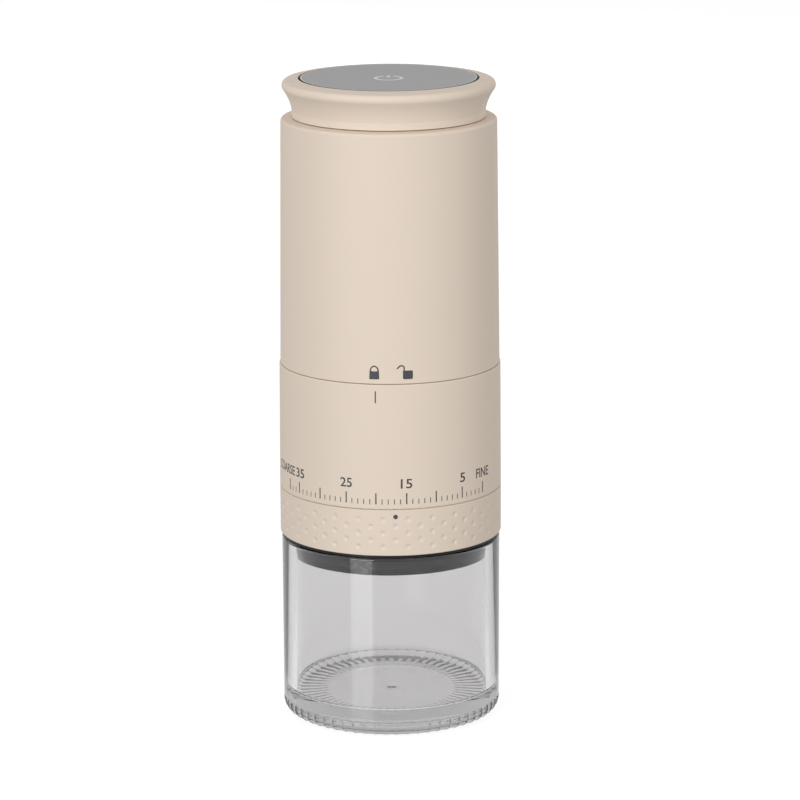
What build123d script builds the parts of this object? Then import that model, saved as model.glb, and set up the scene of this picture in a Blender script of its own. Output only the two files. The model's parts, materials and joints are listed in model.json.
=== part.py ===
from build123d import *
from math import acos, asin, atan, cos, degrees, pi, radians, sin, tan
import os

# A cordless coffee grinder with conical burrs, in millimetres. +Z is up, the origin is the centre of the
# glass jar's foot, and -Y is the front, where the grind scale is. Heights are measured from the foot.

# Driving sizes of the outside
BODY_R = 35.0
BODY_HEIGHT = 39.4
BODY_TAPER = 0.2
RING_HEIGHT = 14.8
RING_STEP = 0.05
JAR_HEIGHT = 58.2
JAR_STEP = 0.45
JAR_TAPER = 0.15
JAR_WALL = 3.55
JAR_FLOOR = 8.0
JAR_HEEL_R = 3.8
COLLAR_FLANGE = 1.1
PLUG_DEPTH = 6.4
CASE_HEIGHT = 77.65
CASE_STEP = 0.3
CASE_TAPER = 0.8
CAP_HEIGHT = 12.1
CAP_NECK_STEP = 3.5
CAP_LIP_STEP = 0.44
DISC_STEP = 5.8

# Walls
BODY_WALL = 2.1
SLEEVE_WALL = 2.0
PLUG_WALL = 2.2
FUNNEL_WALL = 1.5
SPIGOT_WALL = 2.0
CASE_WALL = 2.0

# Clearances
RUN = 0.05
SLIDE = 0.1
SEAT = 0.2
SEAM = 0.15

# Adjusting ring: it rests at click 17 of 38, and the right-hand end of the scale is the finest
CLICKS = 38
CLICK_TURN = 3.13
REST_CLICK = 17
FEED_PER_TURN = 1.5
PIN_R = 1.2
PIN_ANGLES = (90, 270)

# Twist lock between the motor unit and the grinder body
LOCK_TURN = 17
LUG_WIDTH = 14
LUG_ANGLES = (30, 150, 270)
LUG_HEIGHT = 3.5
LUG_REACH = 1.45
SPIGOT_DEPTH = 8.6

# Drive line
SHAFT_R = 3.0
BEARING_WALL = 3.5
BEARING_WIDTH = 5.0
OUTPUT_R = 4.0
OUTPUT_BEARING_WALL = 4.0
DOG_R = 8.0
DOG_LUG_HEIGHT = 3.5

# Burrs
BURR_R = 23.0
BURR_HEIGHT = 17.0
CONE_FOOT_R = 18.0
CONE_KNEE_R = 15.9
CONE_TOP_R = 7.0
CONE_HEIGHT = 19.5
CONE_KNEE_RISE = 4.0
BURR_GAP = 0.28
FINE_TEETH = 30
FEED_TEETH = 6

# Planetary gearbox
MODULE = 0.75
PRESSURE = radians(20)
SUN_TEETH = 12
PLANET_TEETH = 12
RING_TEETH = 36
GEAR_WIDTH = 7.0
ADDENDUM = 0.6
DEDENDUM = 0.8
BACKLASH = 0.12
PLANETS = 3

# Motor, cells and button
MOTOR_R = 14.0
MOTOR_SHAFT_R = 1.5
CELL_R = 7.1
CELL_LENGTH = 50.0
BOARD_T = 1.6
BUTTON_TRAVEL = 0.8
DISC_T = 1.2

# Radii that follow from the sizes above
RING_R = BODY_R - RING_STEP
BODY_SEAM_R = BODY_R - BODY_TAPER
BODY_BORE_R = BODY_R - BODY_WALL - 0.1
HOPPER_R = BODY_SEAM_R - BODY_WALL
SPIGOT_R = HOPPER_R - 2.3
JAR_RIM_R = BODY_R - JAR_STEP
JAR_FOOT_R = JAR_RIM_R - JAR_TAPER
JAR_BORE_R = JAR_RIM_R - JAR_WALL
CASE_FOOT_R = BODY_SEAM_R - CASE_STEP
CASE_TOP_R = CASE_FOOT_R - CASE_TAPER
CAP_NECK_R = CASE_TOP_R - CAP_NECK_STEP
CAP_LIP_R = CASE_TOP_R - CAP_LIP_STEP
DISC_R = CASE_TOP_R - DISC_STEP
BEARING_R = SHAFT_R + BEARING_WALL
OUTPUT_BEARING_R = OUTPUT_R + OUTPUT_BEARING_WALL

# Heights that follow
FLANGE_Z = JAR_HEIGHT + SLIDE
RING_Z = FLANGE_Z + COLLAR_FLANGE
BODY_Z = RING_Z + RING_HEIGHT
SEAM_Z = BODY_Z + BODY_HEIGHT
CASE_Z = SEAM_Z + SEAM
CASE_TOP_Z = CASE_Z + CASE_HEIGHT
CAP_TOP_Z = CASE_TOP_Z + CAP_HEIGHT

# The ring's travel, and how far it moves the burr carrier
RING_TO_FINE = REST_CLICK * CLICK_TURN
RING_TO_COARSE = (CLICKS - REST_CLICK) * CLICK_TURN
FEED_PER_RADIAN = FEED_PER_TURN / (2 * pi)
FEED_DOWN = FEED_PER_RADIAN * radians(RING_TO_FINE)
FEED_UP = FEED_PER_RADIAN * radians(RING_TO_COARSE)


def outline(*corners):
    """A closed face from (x, y) corners, or (x, y, radius) where a corner is rounded."""
    points = [corner[:2] for corner in corners]
    radii = [corner[2] if len(corner) > 2 else 0 for corner in corners]
    if not any(radii):
        return make_face(Polyline(*points, close=True))
    return make_face(FilletPolyline(*points, radius=radii, close=True))


def turned(*corners, arc=360, start=0):
    """A solid turned about Z from (radius, height) corners, whole or from the angle start over an arc."""
    return Rot(Z=start) * revolve(Plane.XZ * outline(*corners), axis=Axis.Z, revolution_arc=arc)


def tube(r_in, r_out, z0, z1, arc=360, start=0):
    return turned((r_in, z0), (r_out, z0), (r_out, z1), (r_in, z1), arc=arc, start=start)


def rod(r, z0, z1, at=0, angle=0):
    """An upright cylinder from z0 to z1, at a distance from the axis and an angle round it."""
    return Rot(Z=angle) * Pos(at, 0, (z0 + z1) / 2) * Cylinder(r, z1 - z0)


def spoke(r, z, r0, r1, angle):
    """A level cylinder that runs outward from radius r0 to r1 at the height z."""
    return Rot(Z=angle) * Pos((r0 + r1) / 2, 0, z) * Rot(Y=90) * Cylinder(r, r1 - r0)


def block(x0, x1, y0, y1, z0, z1):
    return Pos((x0 + x1) / 2, (y0 + y1) / 2, (z0 + z1) / 2) * Box(x1 - x0, y1 - y0, z1 - z0)


def screw(shank_r, head_r, head_h, z_head, length, at, angle, down=True):
    """A cheese-head screw. Its head starts at z_head and its shank runs down from there, or up."""
    way = -1 if down else 1
    shank = sorted((z_head, z_head + way * length))
    head = sorted((z_head, z_head - way * head_h))
    return rod(shank_r, *shank, at, angle) + rod(head_r, *head, at, angle)


def even(count, start=0):
    return [start + 360 * step / count for step in range(count)]


def save(node, *solids):
    shape = solids[0] if len(solids) == 1 else Compound(children=list(solids))
    export_step(shape, f"parts/{node}.step")


# The glass jar. Its heel is parted into blocks by slots, and a sunburst of rays runs inward under its base.
RIM_ROUND = 0.9
BORE_ROUND = 3.0
BASE_RECESS_STEP = 12.9
BASE_RECESS = 0.8
FLUTES = 60
SLOT_WIDTH = 0.7
SLOT_DEPTH = 0.35
SLOT_TOP_Z = 5.0
RAY_WIDTH = 1.3
RAY_DEPTH = 0.45
RECESS_R = JAR_FOOT_R - BASE_RECESS_STEP
RAY_IN_R = RECESS_R + BASE_RECESS + 0.7
HEEL_CENTRE_R = JAR_FOOT_R - JAR_HEEL_R


def heel_slot():
    """The cutter of one slot: an upright plate that follows the heel's round a little inside the glass."""
    floor_r = JAR_FOOT_R - SLOT_DEPTH
    outside = JAR_FOOT_R + 1
    edges = [
        CenterArc((HEEL_CENTRE_R, JAR_HEEL_R), JAR_HEEL_R - SLOT_DEPTH, -90, 90),
        Line((floor_r, JAR_HEEL_R), (floor_r, SLOT_TOP_Z)),
        Line((floor_r, SLOT_TOP_Z), (outside, SLOT_TOP_Z)),
        Line((outside, SLOT_TOP_Z), (outside, -1)),
        Line((outside, -1), (HEEL_CENTRE_R, -1)),
        Line((HEEL_CENTRE_R, -1), (HEEL_CENTRE_R, SLOT_DEPTH)),
    ]
    return extrude(Plane.XZ * make_face(edges), SLOT_WIDTH / 2, both=True)


def base_ray():
    """The cutter of one ray: a notch under the base that runs outward to the foot of a slot."""
    notch = make_face(Polyline((-RAY_WIDTH, -RAY_DEPTH), (RAY_WIDTH, -RAY_DEPTH), (0, RAY_DEPTH), close=True))
    return extrude(Plane.YZ.offset(RAY_IN_R) * notch, HEEL_CENTRE_R - RAY_IN_R + 0.2)


def jar():
    glass = turned(
        (0, BASE_RECESS),
        (RECESS_R, BASE_RECESS, 0.4),
        (RECESS_R + BASE_RECESS, 0, 0.4),
        (JAR_FOOT_R, 0, JAR_HEEL_R),
        (JAR_RIM_R, JAR_HEIGHT, RIM_ROUND),
        (JAR_BORE_R, JAR_HEIGHT, RIM_ROUND),
        (JAR_BORE_R, JAR_FLOOR, BORE_ROUND),
        (0, JAR_FLOOR),
    )
    flute = [heel_slot(), base_ray()]
    save("jar", glass - [Rot(Z=angle) * cut for angle in even(FLUTES, 180 / FLUTES) for cut in flute])


# The black collar that pushes into the jar, its silicone seal and its screws
PLUG_R = JAR_BORE_R - 0.5
PLUG_BORE_R = PLUG_R - PLUG_WALL
COLLAR_HOLE_R = BURR_R - 0.5
COLLAR_PLATE = 2.4
COLLAR_R = BODY_R - 0.5
SEAL_R = JAR_BORE_R - RUN
SEAL_DEPTH = 0.9
SEAL_WIDTH = 2.2
SEAL_RISE = 2.2
SCREW_R = 1.0
SCREW_HEAD_R = 1.7
SCREW_HEAD = 1.2
HEAD_ROOM = 0.1
PLUG_Z = FLANGE_Z - PLUG_DEPTH
PLATE_Z = RING_Z - COLLAR_PLATE
SEAL_Z = PLUG_Z + SEAL_RISE
SLEEVE_FOOT = 1.2
SPRING_IN_R = COLLAR_HOLE_R + 0.2
SPRING_OUT_R = SPRING_IN_R + 2.0
SLEEVE_FOOT_BORE_R = SPRING_OUT_R + 0.3
COLLAR_SCREW_AT = SLEEVE_FOOT_BORE_R + 1.4


def jar_collar():
    collar = turned(
        (PLUG_BORE_R, PLUG_Z),
        (PLUG_R, PLUG_Z, 0.4),
        (PLUG_R, SEAL_Z),
        (PLUG_R - SEAL_DEPTH, SEAL_Z),
        (PLUG_R - SEAL_DEPTH, SEAL_Z + SEAL_WIDTH),
        (PLUG_R, SEAL_Z + SEAL_WIDTH),
        (PLUG_R, FLANGE_Z),
        (COLLAR_R, FLANGE_Z, 0.3),
        (COLLAR_R, RING_Z, 0.3),
        (COLLAR_HOLE_R, RING_Z),
        (COLLAR_HOLE_R, PLATE_Z),
        (PLUG_BORE_R, PLATE_Z),
    )
    angles = even(4, 45)
    holes = [rod(SCREW_R, PLATE_Z, RING_Z, COLLAR_SCREW_AT, angle) for angle in angles]
    # The heads keep their room even where the plug's wall comes close to them
    head_room = SCREW_HEAD_R + HEAD_ROOM
    holes += [rod(head_room, PLUG_Z - 1, PLATE_Z, COLLAR_SCREW_AT, angle) for angle in angles]
    save("jar_collar", collar - holes)

    lip = (PLUG_R + SEAL_R) / 2
    seal = turned(
        (PLUG_R - SEAL_DEPTH, SEAL_Z),
        (lip, SEAL_Z),
        (SEAL_R, SEAL_Z + SEAL_WIDTH * 0.3, 0.2),
        (SEAL_R, SEAL_Z + SEAL_WIDTH * 0.7, 0.2),
        (lip, SEAL_Z + SEAL_WIDTH),
        (PLUG_R - SEAL_DEPTH, SEAL_Z + SEAL_WIDTH),
    )
    save("collar_seal", seal)

    length = COLLAR_PLATE + SLEEVE_FOOT - 0.1
    screws = [
        screw(SCREW_R, SCREW_HEAD_R, SCREW_HEAD, PLATE_Z, length, COLLAR_SCREW_AT, angle, down=False)
        for angle in angles
    ]
    save("collar_screws", *screws)


# The fixed sleeve that the adjusting ring turns on and the burr carrier slides in
SLEEVE_R = BODY_BORE_R - 0.6
SLEEVE_BORE_R = SLEEVE_R - SLEEVE_WALL
STEP_TOP_Z = BODY_Z + 3.8
PIN_Z = RING_Z + 10.5
SLOT_ROOM = 0.15
KEY_WIDTH = 4.0
KEY_REACH = 1.4
KEY_ANGLES = [angle + 90 for angle in PIN_ANGLES]
BALL_R = 0.7
BALL_Z = RING_Z + 4.5
BALL_ANGLE = 0
DETENT_BORE_DEPTH = 1.7
HOPPER_SCREW_AT = SLEEVE_R - SLEEVE_WALL / 2
HOPPER_SCREW_R = 0.7
HOPPER_SCREW_HEAD_R = 0.9
HOPPER_SCREW_LENGTH = 6.0
HOPPER_SCREW_ANGLES = (0, 120, 240)


def core_sleeve():
    sleeve = turned(
        (SLEEVE_FOOT_BORE_R, RING_Z),
        (SLEEVE_R, RING_Z),
        (SLEEVE_R, BODY_Z + 0.1),
        (BODY_BORE_R, BODY_Z + 0.1),
        (BODY_BORE_R, STEP_TOP_Z),
        (SLEEVE_R, STEP_TOP_Z),
        (SLEEVE_R, SLEEVE_TOP_Z),
        (SLEEVE_BORE_R, SLEEVE_TOP_Z),
        (SLEEVE_BORE_R, RING_Z + SLEEVE_FOOT),
        (SLEEVE_FOOT_BORE_R, RING_Z + SLEEVE_FOOT),
    )
    key = block(
        SLEEVE_BORE_R - KEY_REACH, SLEEVE_BORE_R + 0.5, -KEY_WIDTH / 2, KEY_WIDTH / 2, RING_Z + SLEEVE_FOOT, SLEEVE_TOP_Z - 2
    )
    sleeve += [Rot(Z=angle) * key for angle in KEY_ANGLES]
    pin_half = degrees(asin((PIN_R + SLOT_ROOM) / SLEEVE_BORE_R))
    slot_half = PIN_R + SLOT_ROOM
    cuts = [
        tube(
            SLEEVE_BORE_R - 1,
            SLEEVE_R + 1,
            PIN_Z - slot_half,
            PIN_Z + slot_half,
            arc=RING_TO_COARSE + RING_TO_FINE + 2 * pin_half,
            start=angle - RING_TO_COARSE - pin_half,
        )
        for angle in PIN_ANGLES
    ]
    cuts += [rod(SCREW_R, RING_Z, RING_Z + SLEEVE_FOOT, COLLAR_SCREW_AT, angle) for angle in even(4, 45)]
    cuts += [
        rod(HOPPER_SCREW_R, SLEEVE_TOP_Z - HOPPER_SCREW_LENGTH, SLEEVE_TOP_Z, HOPPER_SCREW_AT, angle)
        for angle in HOPPER_SCREW_ANGLES
    ]
    cuts.append(spoke(BALL_R + RUN, BALL_Z, SLEEVE_R - DETENT_BORE_DEPTH, SLEEVE_R + 1, BALL_ANGLE))
    save("core_sleeve", sleeve - cuts)


# The click of the adjusting ring: a ball in the sleeve, pushed out by a short spring
BALL_CENTRE_R = SLEEVE_R + RUN - BALL_R
DETENT_SPRING_R = 0.55
DETENT_SPRING_T = 0.2


def detent():
    save("detent_ball", Rot(Z=BALL_ANGLE) * Pos(BALL_CENTRE_R, 0, BALL_Z) * Sphere(BALL_R))
    spring_in = SLEEVE_R - DETENT_BORE_DEPTH
    spring_out = BALL_CENTRE_R - BALL_R + RUN
    spring = spoke(DETENT_SPRING_R, BALL_Z, spring_in, spring_out, BALL_ANGLE)
    spring -= spoke(DETENT_SPRING_R - DETENT_SPRING_T, BALL_Z, spring_in - 1, spring_out + 1, BALL_ANGLE)
    save("detent_spring", spring)


# The adjusting ring with its click notches and its two drive pins
RING_BORE_R = SLEEVE_R + SLIDE
NOTCH_R = 0.6
NOTCH_DEPTH = 0.4
NOTCH_HEIGHT = 2.4
PIN_TIP_R = SLEEVE_BORE_R - 2.0
PIN_SEAT = 1.7
DIMPLE_COLUMNS = 56
DIMPLE_ANGLE = -87.15
DIMPLE_MID_Z = RING_Z + 7.1
DIMPLE_PITCH = 2.2
DIMPLE_R = 1.0
DIMPLE_DEPTH = 0.3


def ring_dimples():
    """The cutters of the grip: columns of two dimples and of three by turns."""
    ball_r = (DIMPLE_R**2 + DIMPLE_DEPTH**2) / (2 * DIMPLE_DEPTH)
    at = RING_R + ball_r - DIMPLE_DEPTH
    cutters = []
    for column, angle in enumerate(even(DIMPLE_COLUMNS, DIMPLE_ANGLE)):
        rows = (-2, 0, 2) if column % 2 else (-1, 1)
        cutters += [Rot(Z=angle) * Pos(at, 0, DIMPLE_MID_Z + row * DIMPLE_PITCH) * Sphere(ball_r) for row in rows]
    return cutters


def adjust_ring():
    z0 = RING_Z + SEAM
    z1 = BODY_Z - SLIDE
    ring = turned(
        (RING_BORE_R, z0),
        (RING_R, z0, 0.6),
        (RING_R, z1, 0.2),
        (RING_BORE_R, z1),
    )
    first = BALL_ANGLE - RING_TO_FINE
    notch_at = RING_BORE_R + NOTCH_DEPTH - NOTCH_R
    cuts = [
        rod(NOTCH_R, BALL_Z - NOTCH_HEIGHT / 2, BALL_Z + NOTCH_HEIGHT / 2, notch_at, first + click * CLICK_TURN)
        for click in range(CLICKS + 1)
    ]
    cuts += [spoke(PIN_R, PIN_Z, RING_BORE_R - 1, RING_BORE_R + PIN_SEAT, angle) for angle in PIN_ANGLES]
    save("adjust_ring", ring - cuts - ring_dimples())
    save(
        "ring_pins", *[spoke(PIN_R, PIN_Z, PIN_TIP_R, RING_BORE_R + PIN_SEAT, angle) for angle in PIN_ANGLES]
    )


# The burr carrier: the ring's pins run in its two ramps and move it up or down along the sleeve's keys
CARRIER_R = SLEEVE_BORE_R - SLIDE
CARRIER_Z = RING_Z + 1.6
LEDGE = 1.6
LEDGE_BORE_R = CONE_FOOT_R + 1.5
RAMP_DEPTH = CARRIER_R - PIN_TIP_R + SEAT
RAMP_ROOM = 0.12
BURR_Z = CARRIER_Z + LEDGE
CARRIER_TOP_Z = BURR_Z + BURR_HEIGHT + 0.5
BURR_SCREW_AT = BURR_R - 1.7
BURR_SCREW_LENGTH = 5.0
BURR_SCREW_ANGLES = (30, 150, 270)


def burr_carrier():
    carrier = turned(
        (LEDGE_BORE_R, CARRIER_Z),
        (CARRIER_R, CARRIER_Z, 0.5),
        (CARRIER_R, CARRIER_TOP_Z, 0.5),
        (BURR_R + 2.0, CARRIER_TOP_Z),
        (BURR_R, CARRIER_TOP_Z - 1.2),
        (BURR_R, BURR_Z),
        (LEDGE_BORE_R, BURR_Z),
    )
    # A ramp is a level slot tipped about the middle of its travel, which over so short an arc follows a thread
    middle = (RING_TO_FINE - RING_TO_COARSE) / 2
    tip = degrees(atan(FEED_PER_RADIAN / CARRIER_R))
    reach = (RING_TO_FINE + RING_TO_COARSE) / 2 + degrees(asin(PIN_R / PIN_TIP_R)) + 1.5
    half = PIN_R + RAMP_ROOM
    rise = FEED_PER_RADIAN * radians(middle)
    cuts = []
    for angle in PIN_ANGLES:
        level = tube(CARRIER_R - RAMP_DEPTH, CARRIER_R + 2, -half, half, arc=2 * reach, start=-reach)
        cuts.append(Pos(0, 0, PIN_Z + rise) * Rot(Z=angle + middle) * Rot(X=tip) * level)
    keyway = block(
        SLEEVE_BORE_R - KEY_REACH - SEAT, CARRIER_R + 1, -KEY_WIDTH / 2 - SLIDE, KEY_WIDTH / 2 + SLIDE,
        CARRIER_Z - 1, CARRIER_TOP_Z + 1,
    )
    cuts += [Rot(Z=angle) * keyway for angle in KEY_ANGLES]
    cuts += [rod(SCREW_R, CARRIER_Z, BURR_Z, BURR_SCREW_AT, angle) for angle in BURR_SCREW_ANGLES]
    cuts += [rod(SCREW_HEAD_R, CARRIER_Z, CARRIER_Z + SCREW_HEAD, BURR_SCREW_AT, a) for a in BURR_SCREW_ANGLES]
    save("burr_carrier", carrier - cuts)
    screws = [
        screw(
            SCREW_R, SCREW_HEAD_R, SCREW_HEAD, CARRIER_Z + SCREW_HEAD, BURR_SCREW_LENGTH, BURR_SCREW_AT, angle,
            down=False,
        )
        for angle in BURR_SCREW_ANGLES
    ]
    save("burr_screws", *screws)


# A coned spring washer under the carrier takes up its play
SPRING_T = 0.35


def preload_spring():
    top = CARRIER_Z - FEED_DOWN - 0.1
    washer = turned(
        (SPRING_OUT_R, RING_Z),
        (SPRING_OUT_R, RING_Z + SPRING_T),
        (SPRING_IN_R + 0.3, top),
        (SPRING_IN_R, top),
        (SPRING_IN_R, top - SPRING_T),
        (SPRING_OUT_R - 0.3, RING_Z),
    )
    save("preload_spring", washer)


# The burrs
CONE_FOOT_Z = BURR_Z - 0.1
CONE_TOP_Z = CONE_FOOT_Z + CONE_HEIGHT
CONE_KNEE_Z = CONE_FOOT_Z + CONE_KNEE_RISE
CONE_NECK_R = SHAFT_R + 1.8
CONE_NECK_Z = CONE_TOP_Z + 1.9


def groove(foot, head, sink, side, twist, lean):
    """A V cutter for one burr tooth space. Its root runs from foot to head, each a (radius, height) on the
    burr's face, sunk there by the two depths in sink. side is 1 on the cone and -1 inside the ring, twist
    is the angle that the tooth winds through, and lean sets how steep its two flanks are."""
    along = Vector(head[0] - foot[0], 0, head[1] - foot[1]).normalized()
    out = Vector(along.Z, 0, -along.X) * side
    low = Vector(foot[0], 0, foot[1]) - out * sink[0]
    high = (Vector(head[0], 0, head[1]) - out * sink[1]).rotate(Axis.Z, twist)
    run = (high - low).normalized()
    up = (out - run * out.dot(run)).normalized()
    over = 2.0
    start = low - run * over
    section = Plane(origin=start, x_dir=up.cross(run), z_dir=run)
    height = max(sink) + over
    face = section * make_face(Polyline((0, 0), (height * lean[0], height), (-height * lean[1], height), close=True))
    return extrude(face, amount=(high - low).length + 2 * over, dir=run)


def cone_burr():
    cone = turned(
        (SHAFT_R, CONE_FOOT_Z),
        (CONE_FOOT_R, CONE_FOOT_Z),
        (CONE_KNEE_R, CONE_KNEE_Z),
        (CONE_TOP_R, CONE_TOP_Z),
        (CONE_NECK_R, CONE_NECK_Z),
        (SHAFT_R, CONE_NECK_Z),
    )
    slope = (CONE_KNEE_R - CONE_TOP_R) / (CONE_TOP_Z - CONE_KNEE_Z)
    fade_z = CONE_KNEE_Z + 6
    fade_r = CONE_KNEE_R - slope * (fade_z - CONE_KNEE_Z)
    fine = groove((CONE_FOOT_R, CONE_FOOT_Z), (fade_r, fade_z), (0.7, -0.1), 1, -26, (0.3, 1.0))
    feed = groove((CONE_KNEE_R, CONE_KNEE_Z), (CONE_TOP_R, CONE_TOP_Z), (-0.2, 2.6), 1, -40, (0.5, 1.3))
    cuts = [Rot(Z=angle) * fine for angle in even(FINE_TEETH)]
    cuts += [Rot(Z=angle) * feed for angle in even(FEED_TEETH)]
    save("cone_burr", cone - cuts)


def ring_burr():
    foot = CONE_FOOT_R + BURR_GAP
    knee = CONE_KNEE_R + BURR_GAP
    mouth = knee + 1.2
    top = BURR_Z + BURR_HEIGHT
    slope = (CONE_FOOT_R - CONE_KNEE_R) / CONE_KNEE_RISE
    start = foot + slope * (CONE_FOOT_Z - BURR_Z)
    ring = turned(
        (start, BURR_Z),
        (BURR_R, BURR_Z, 0.3),
        (BURR_R, top, 0.3),
        (mouth, top, 0.6),
        (knee, CONE_KNEE_Z),
    )
    fade_z = CONE_KNEE_Z + 5
    fade_r = knee + (mouth - knee) * 5 / (top - CONE_KNEE_Z)
    fine = groove((start, BURR_Z), (fade_r, fade_z), (0.7, -0.1), -1, 20, (0.3, 1.0))
    feed = groove((knee, CONE_KNEE_Z), (mouth, top), (-0.2, 1.7), -1, 24, (0.6, 1.6))
    cuts = [Rot(Z=angle) * fine for angle in even(FINE_TEETH)]
    cuts += [Rot(Z=angle) * feed for angle in even(FEED_TEETH)]
    cuts += [
        rod(SCREW_R, BURR_Z, CARRIER_Z + SCREW_HEAD + BURR_SCREW_LENGTH, BURR_SCREW_AT, angle)
        for angle in BURR_SCREW_ANGLES
    ]
    save("ring_burr", ring - cuts)


# The burr shaft and what is on it
SWEEPER_T = 1.9
SWEEPER_R = CONE_FOOT_R - 0.2
SWEEPER_HUB_R = 8.5
NUT_HEIGHT = 2.5
NUT_FLATS = 8.0
SHAFT_TAIL = 0.7
SWEEPER_Z = CONE_FOOT_Z - SWEEPER_T
NUT_Z = SWEEPER_Z - NUT_HEIGHT
SHAFT_Z = NUT_Z - SHAFT_TAIL


def burr_shaft():
    save("drive_shaft", rod(SHAFT_R, SHAFT_Z, DOG_Z + DOG_PLATE))

    wing = block(0, SWEEPER_R, -1.5, 1.5, SWEEPER_Z, CONE_FOOT_Z)
    sweeper = rod(SWEEPER_HUB_R, SWEEPER_Z, CONE_FOOT_Z) + [Rot(Z=angle) * wing for angle in even(3)]
    save("grounds_sweeper", sweeper - rod(SHAFT_R, SWEEPER_Z, CONE_FOOT_Z))

    nut = extrude(Pos(0, 0, NUT_Z) * RegularPolygon(NUT_FLATS / 2, 6, major_radius=False), amount=NUT_HEIGHT)
    save("burr_nut", nut - rod(SHAFT_R, NUT_Z, SWEEPER_Z))

    clip_z = CONE_NECK_Z + 0.1
    save("shaft_circlip", tube(SHAFT_R, SHAFT_R + 1.8, clip_z, LOWER_BEARING_Z - 0.15, arc=320, start=20))


# The bean hopper, with the funnel above the burrs and the slots that the motor unit's lugs turn in
HOPPER_BORE_R = SPIGOT_R + SEAT
HOPPER_TOP_Z = SEAM_Z - 1.7
FUNNEL_TOP_Z = SEAM_Z - 17.6
FUNNEL_FOOT_Z = CONE_TOP_Z + 3.0
HOPPER_RIM_Z = FUNNEL_TOP_Z + 3.5
SLEEVE_TOP_Z = FUNNEL_TOP_Z - 4.0
THROAT_Z = CARRIER_TOP_Z + FEED_UP + 0.3
THROAT_R = CONE_KNEE_R + 0.9
SPIDER_LEDGE = 1.0
LUG_Z = CASE_Z - SPIGOT_DEPTH
SLOT_DEPTH_R = SPIGOT_R + LUG_REACH + SEAT


def bean_hopper():
    funnel_r = HOPPER_BORE_R - SPIDER_LEDGE
    slope = (FUNNEL_TOP_Z - FUNNEL_FOOT_Z) / (funnel_r - THROAT_R)
    drop = FUNNEL_WALL * (1 + slope**2) ** 0.5
    neck_r = THROAT_R + FUNNEL_WALL
    under_z = FUNNEL_FOOT_Z - drop + slope * (neck_r - THROAT_R)
    foot_r = THROAT_R + (SLEEVE_TOP_Z - FUNNEL_FOOT_Z + drop) / slope
    hopper = turned(
        (THROAT_R, THROAT_Z),
        (neck_r, THROAT_Z),
        (neck_r, under_z),
        (foot_r, SLEEVE_TOP_Z),
        (SLEEVE_R, SLEEVE_TOP_Z),
        (SLEEVE_R, HOPPER_RIM_Z),
        (HOPPER_R, HOPPER_RIM_Z),
        (HOPPER_R, HOPPER_TOP_Z, 0.3),
        (HOPPER_BORE_R, HOPPER_TOP_Z, 0.3),
        (HOPPER_BORE_R, FUNNEL_TOP_Z),
        (funnel_r, FUNNEL_TOP_Z, 0.6),
        (THROAT_R, FUNNEL_FOOT_Z, 2.0),
    )
    lug_half = LUG_WIDTH / 2 + 0.6
    cuts = [
        tube(
            HOPPER_BORE_R - 1,
            SLOT_DEPTH_R,
            LUG_Z - SEAT,
            HOPPER_TOP_Z + 1,
            arc=LOCK_TURN + 2 * lug_half,
            start=angle - LOCK_TURN - lug_half,
        )
        for angle in LUG_ANGLES
    ]
    screw_head_z = SLEEVE_TOP_Z + 2.0
    cuts += [
        rod(HOPPER_SCREW_R, SLEEVE_TOP_Z, screw_head_z, HOPPER_SCREW_AT, angle) for angle in HOPPER_SCREW_ANGLES
    ]
    cuts += [
        rod(HOPPER_SCREW_HEAD_R, screw_head_z, HOPPER_RIM_Z + 0.8, HOPPER_SCREW_AT, angle)
        for angle in HOPPER_SCREW_ANGLES
    ]
    save("bean_hopper", hopper - cuts)
    screws = [
        screw(
            HOPPER_SCREW_R, HOPPER_SCREW_HEAD_R, 1.0, screw_head_z, HOPPER_SCREW_LENGTH + 1.9, HOPPER_SCREW_AT, angle
        )
        for angle in HOPPER_SCREW_ANGLES
    ]
    save("hopper_screws", *screws)


# The three-armed hub that holds the burr shaft in the funnel
HUB_R = BEARING_R + 1.9
ARM_WIDTH = 3.2
ARM_HEIGHT = 3.4
ARM_ANGLES = (90, 210, 330)
HUB_TOP_Z = FUNNEL_TOP_Z + ARM_HEIGHT
HUB_Z = FUNNEL_FOOT_Z - 0.4
UPPER_BEARING_Z = HUB_TOP_Z - BEARING_WIDTH
LOWER_BEARING_Z = HUB_Z + 0.15
SPIDER_SCREW_AT = HOPPER_BORE_R - SPIDER_LEDGE - 1.2
DOG_Z = HUB_TOP_Z + 0.25
DOG_PLATE = 1.4


def shaft_spider():
    arm = block(0, HOPPER_BORE_R - 0.4, -ARM_WIDTH / 2, ARM_WIDTH / 2, FUNNEL_TOP_Z, HUB_TOP_Z)
    hub = turned((0, HUB_Z), (HUB_R, HUB_Z, 1.2), (HUB_R, HUB_TOP_Z, 0.5), (0, HUB_TOP_Z))
    spider = hub + [Rot(Z=angle) * arm for angle in ARM_ANGLES]
    cuts = [
        rod(BEARING_R, HUB_Z, LOWER_BEARING_Z + BEARING_WIDTH),
        rod(BEARING_R - 1.2, HUB_Z, HUB_TOP_Z),
        rod(BEARING_R, UPPER_BEARING_Z, HUB_TOP_Z),
    ]
    save("shaft_spider", spider - cuts)
    save("upper_bearing", tube(SHAFT_R + RUN, BEARING_R, UPPER_BEARING_Z, HUB_TOP_Z))
    save("lower_bearing", tube(SHAFT_R + RUN, BEARING_R, LOWER_BEARING_Z, LOWER_BEARING_Z + BEARING_WIDTH))


# The two dogs that pass the motor's turn on to the burr shaft, with room for the twist lock
LOWER_DOG_HALF = 45
UPPER_DOG_HALF = 32
DOG_GAP = 0.3
DOG_BORE_R = SHAFT_R + 0.6
UPPER_DOG_ANGLE = 90 + LOCK_TURN / 2


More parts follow.
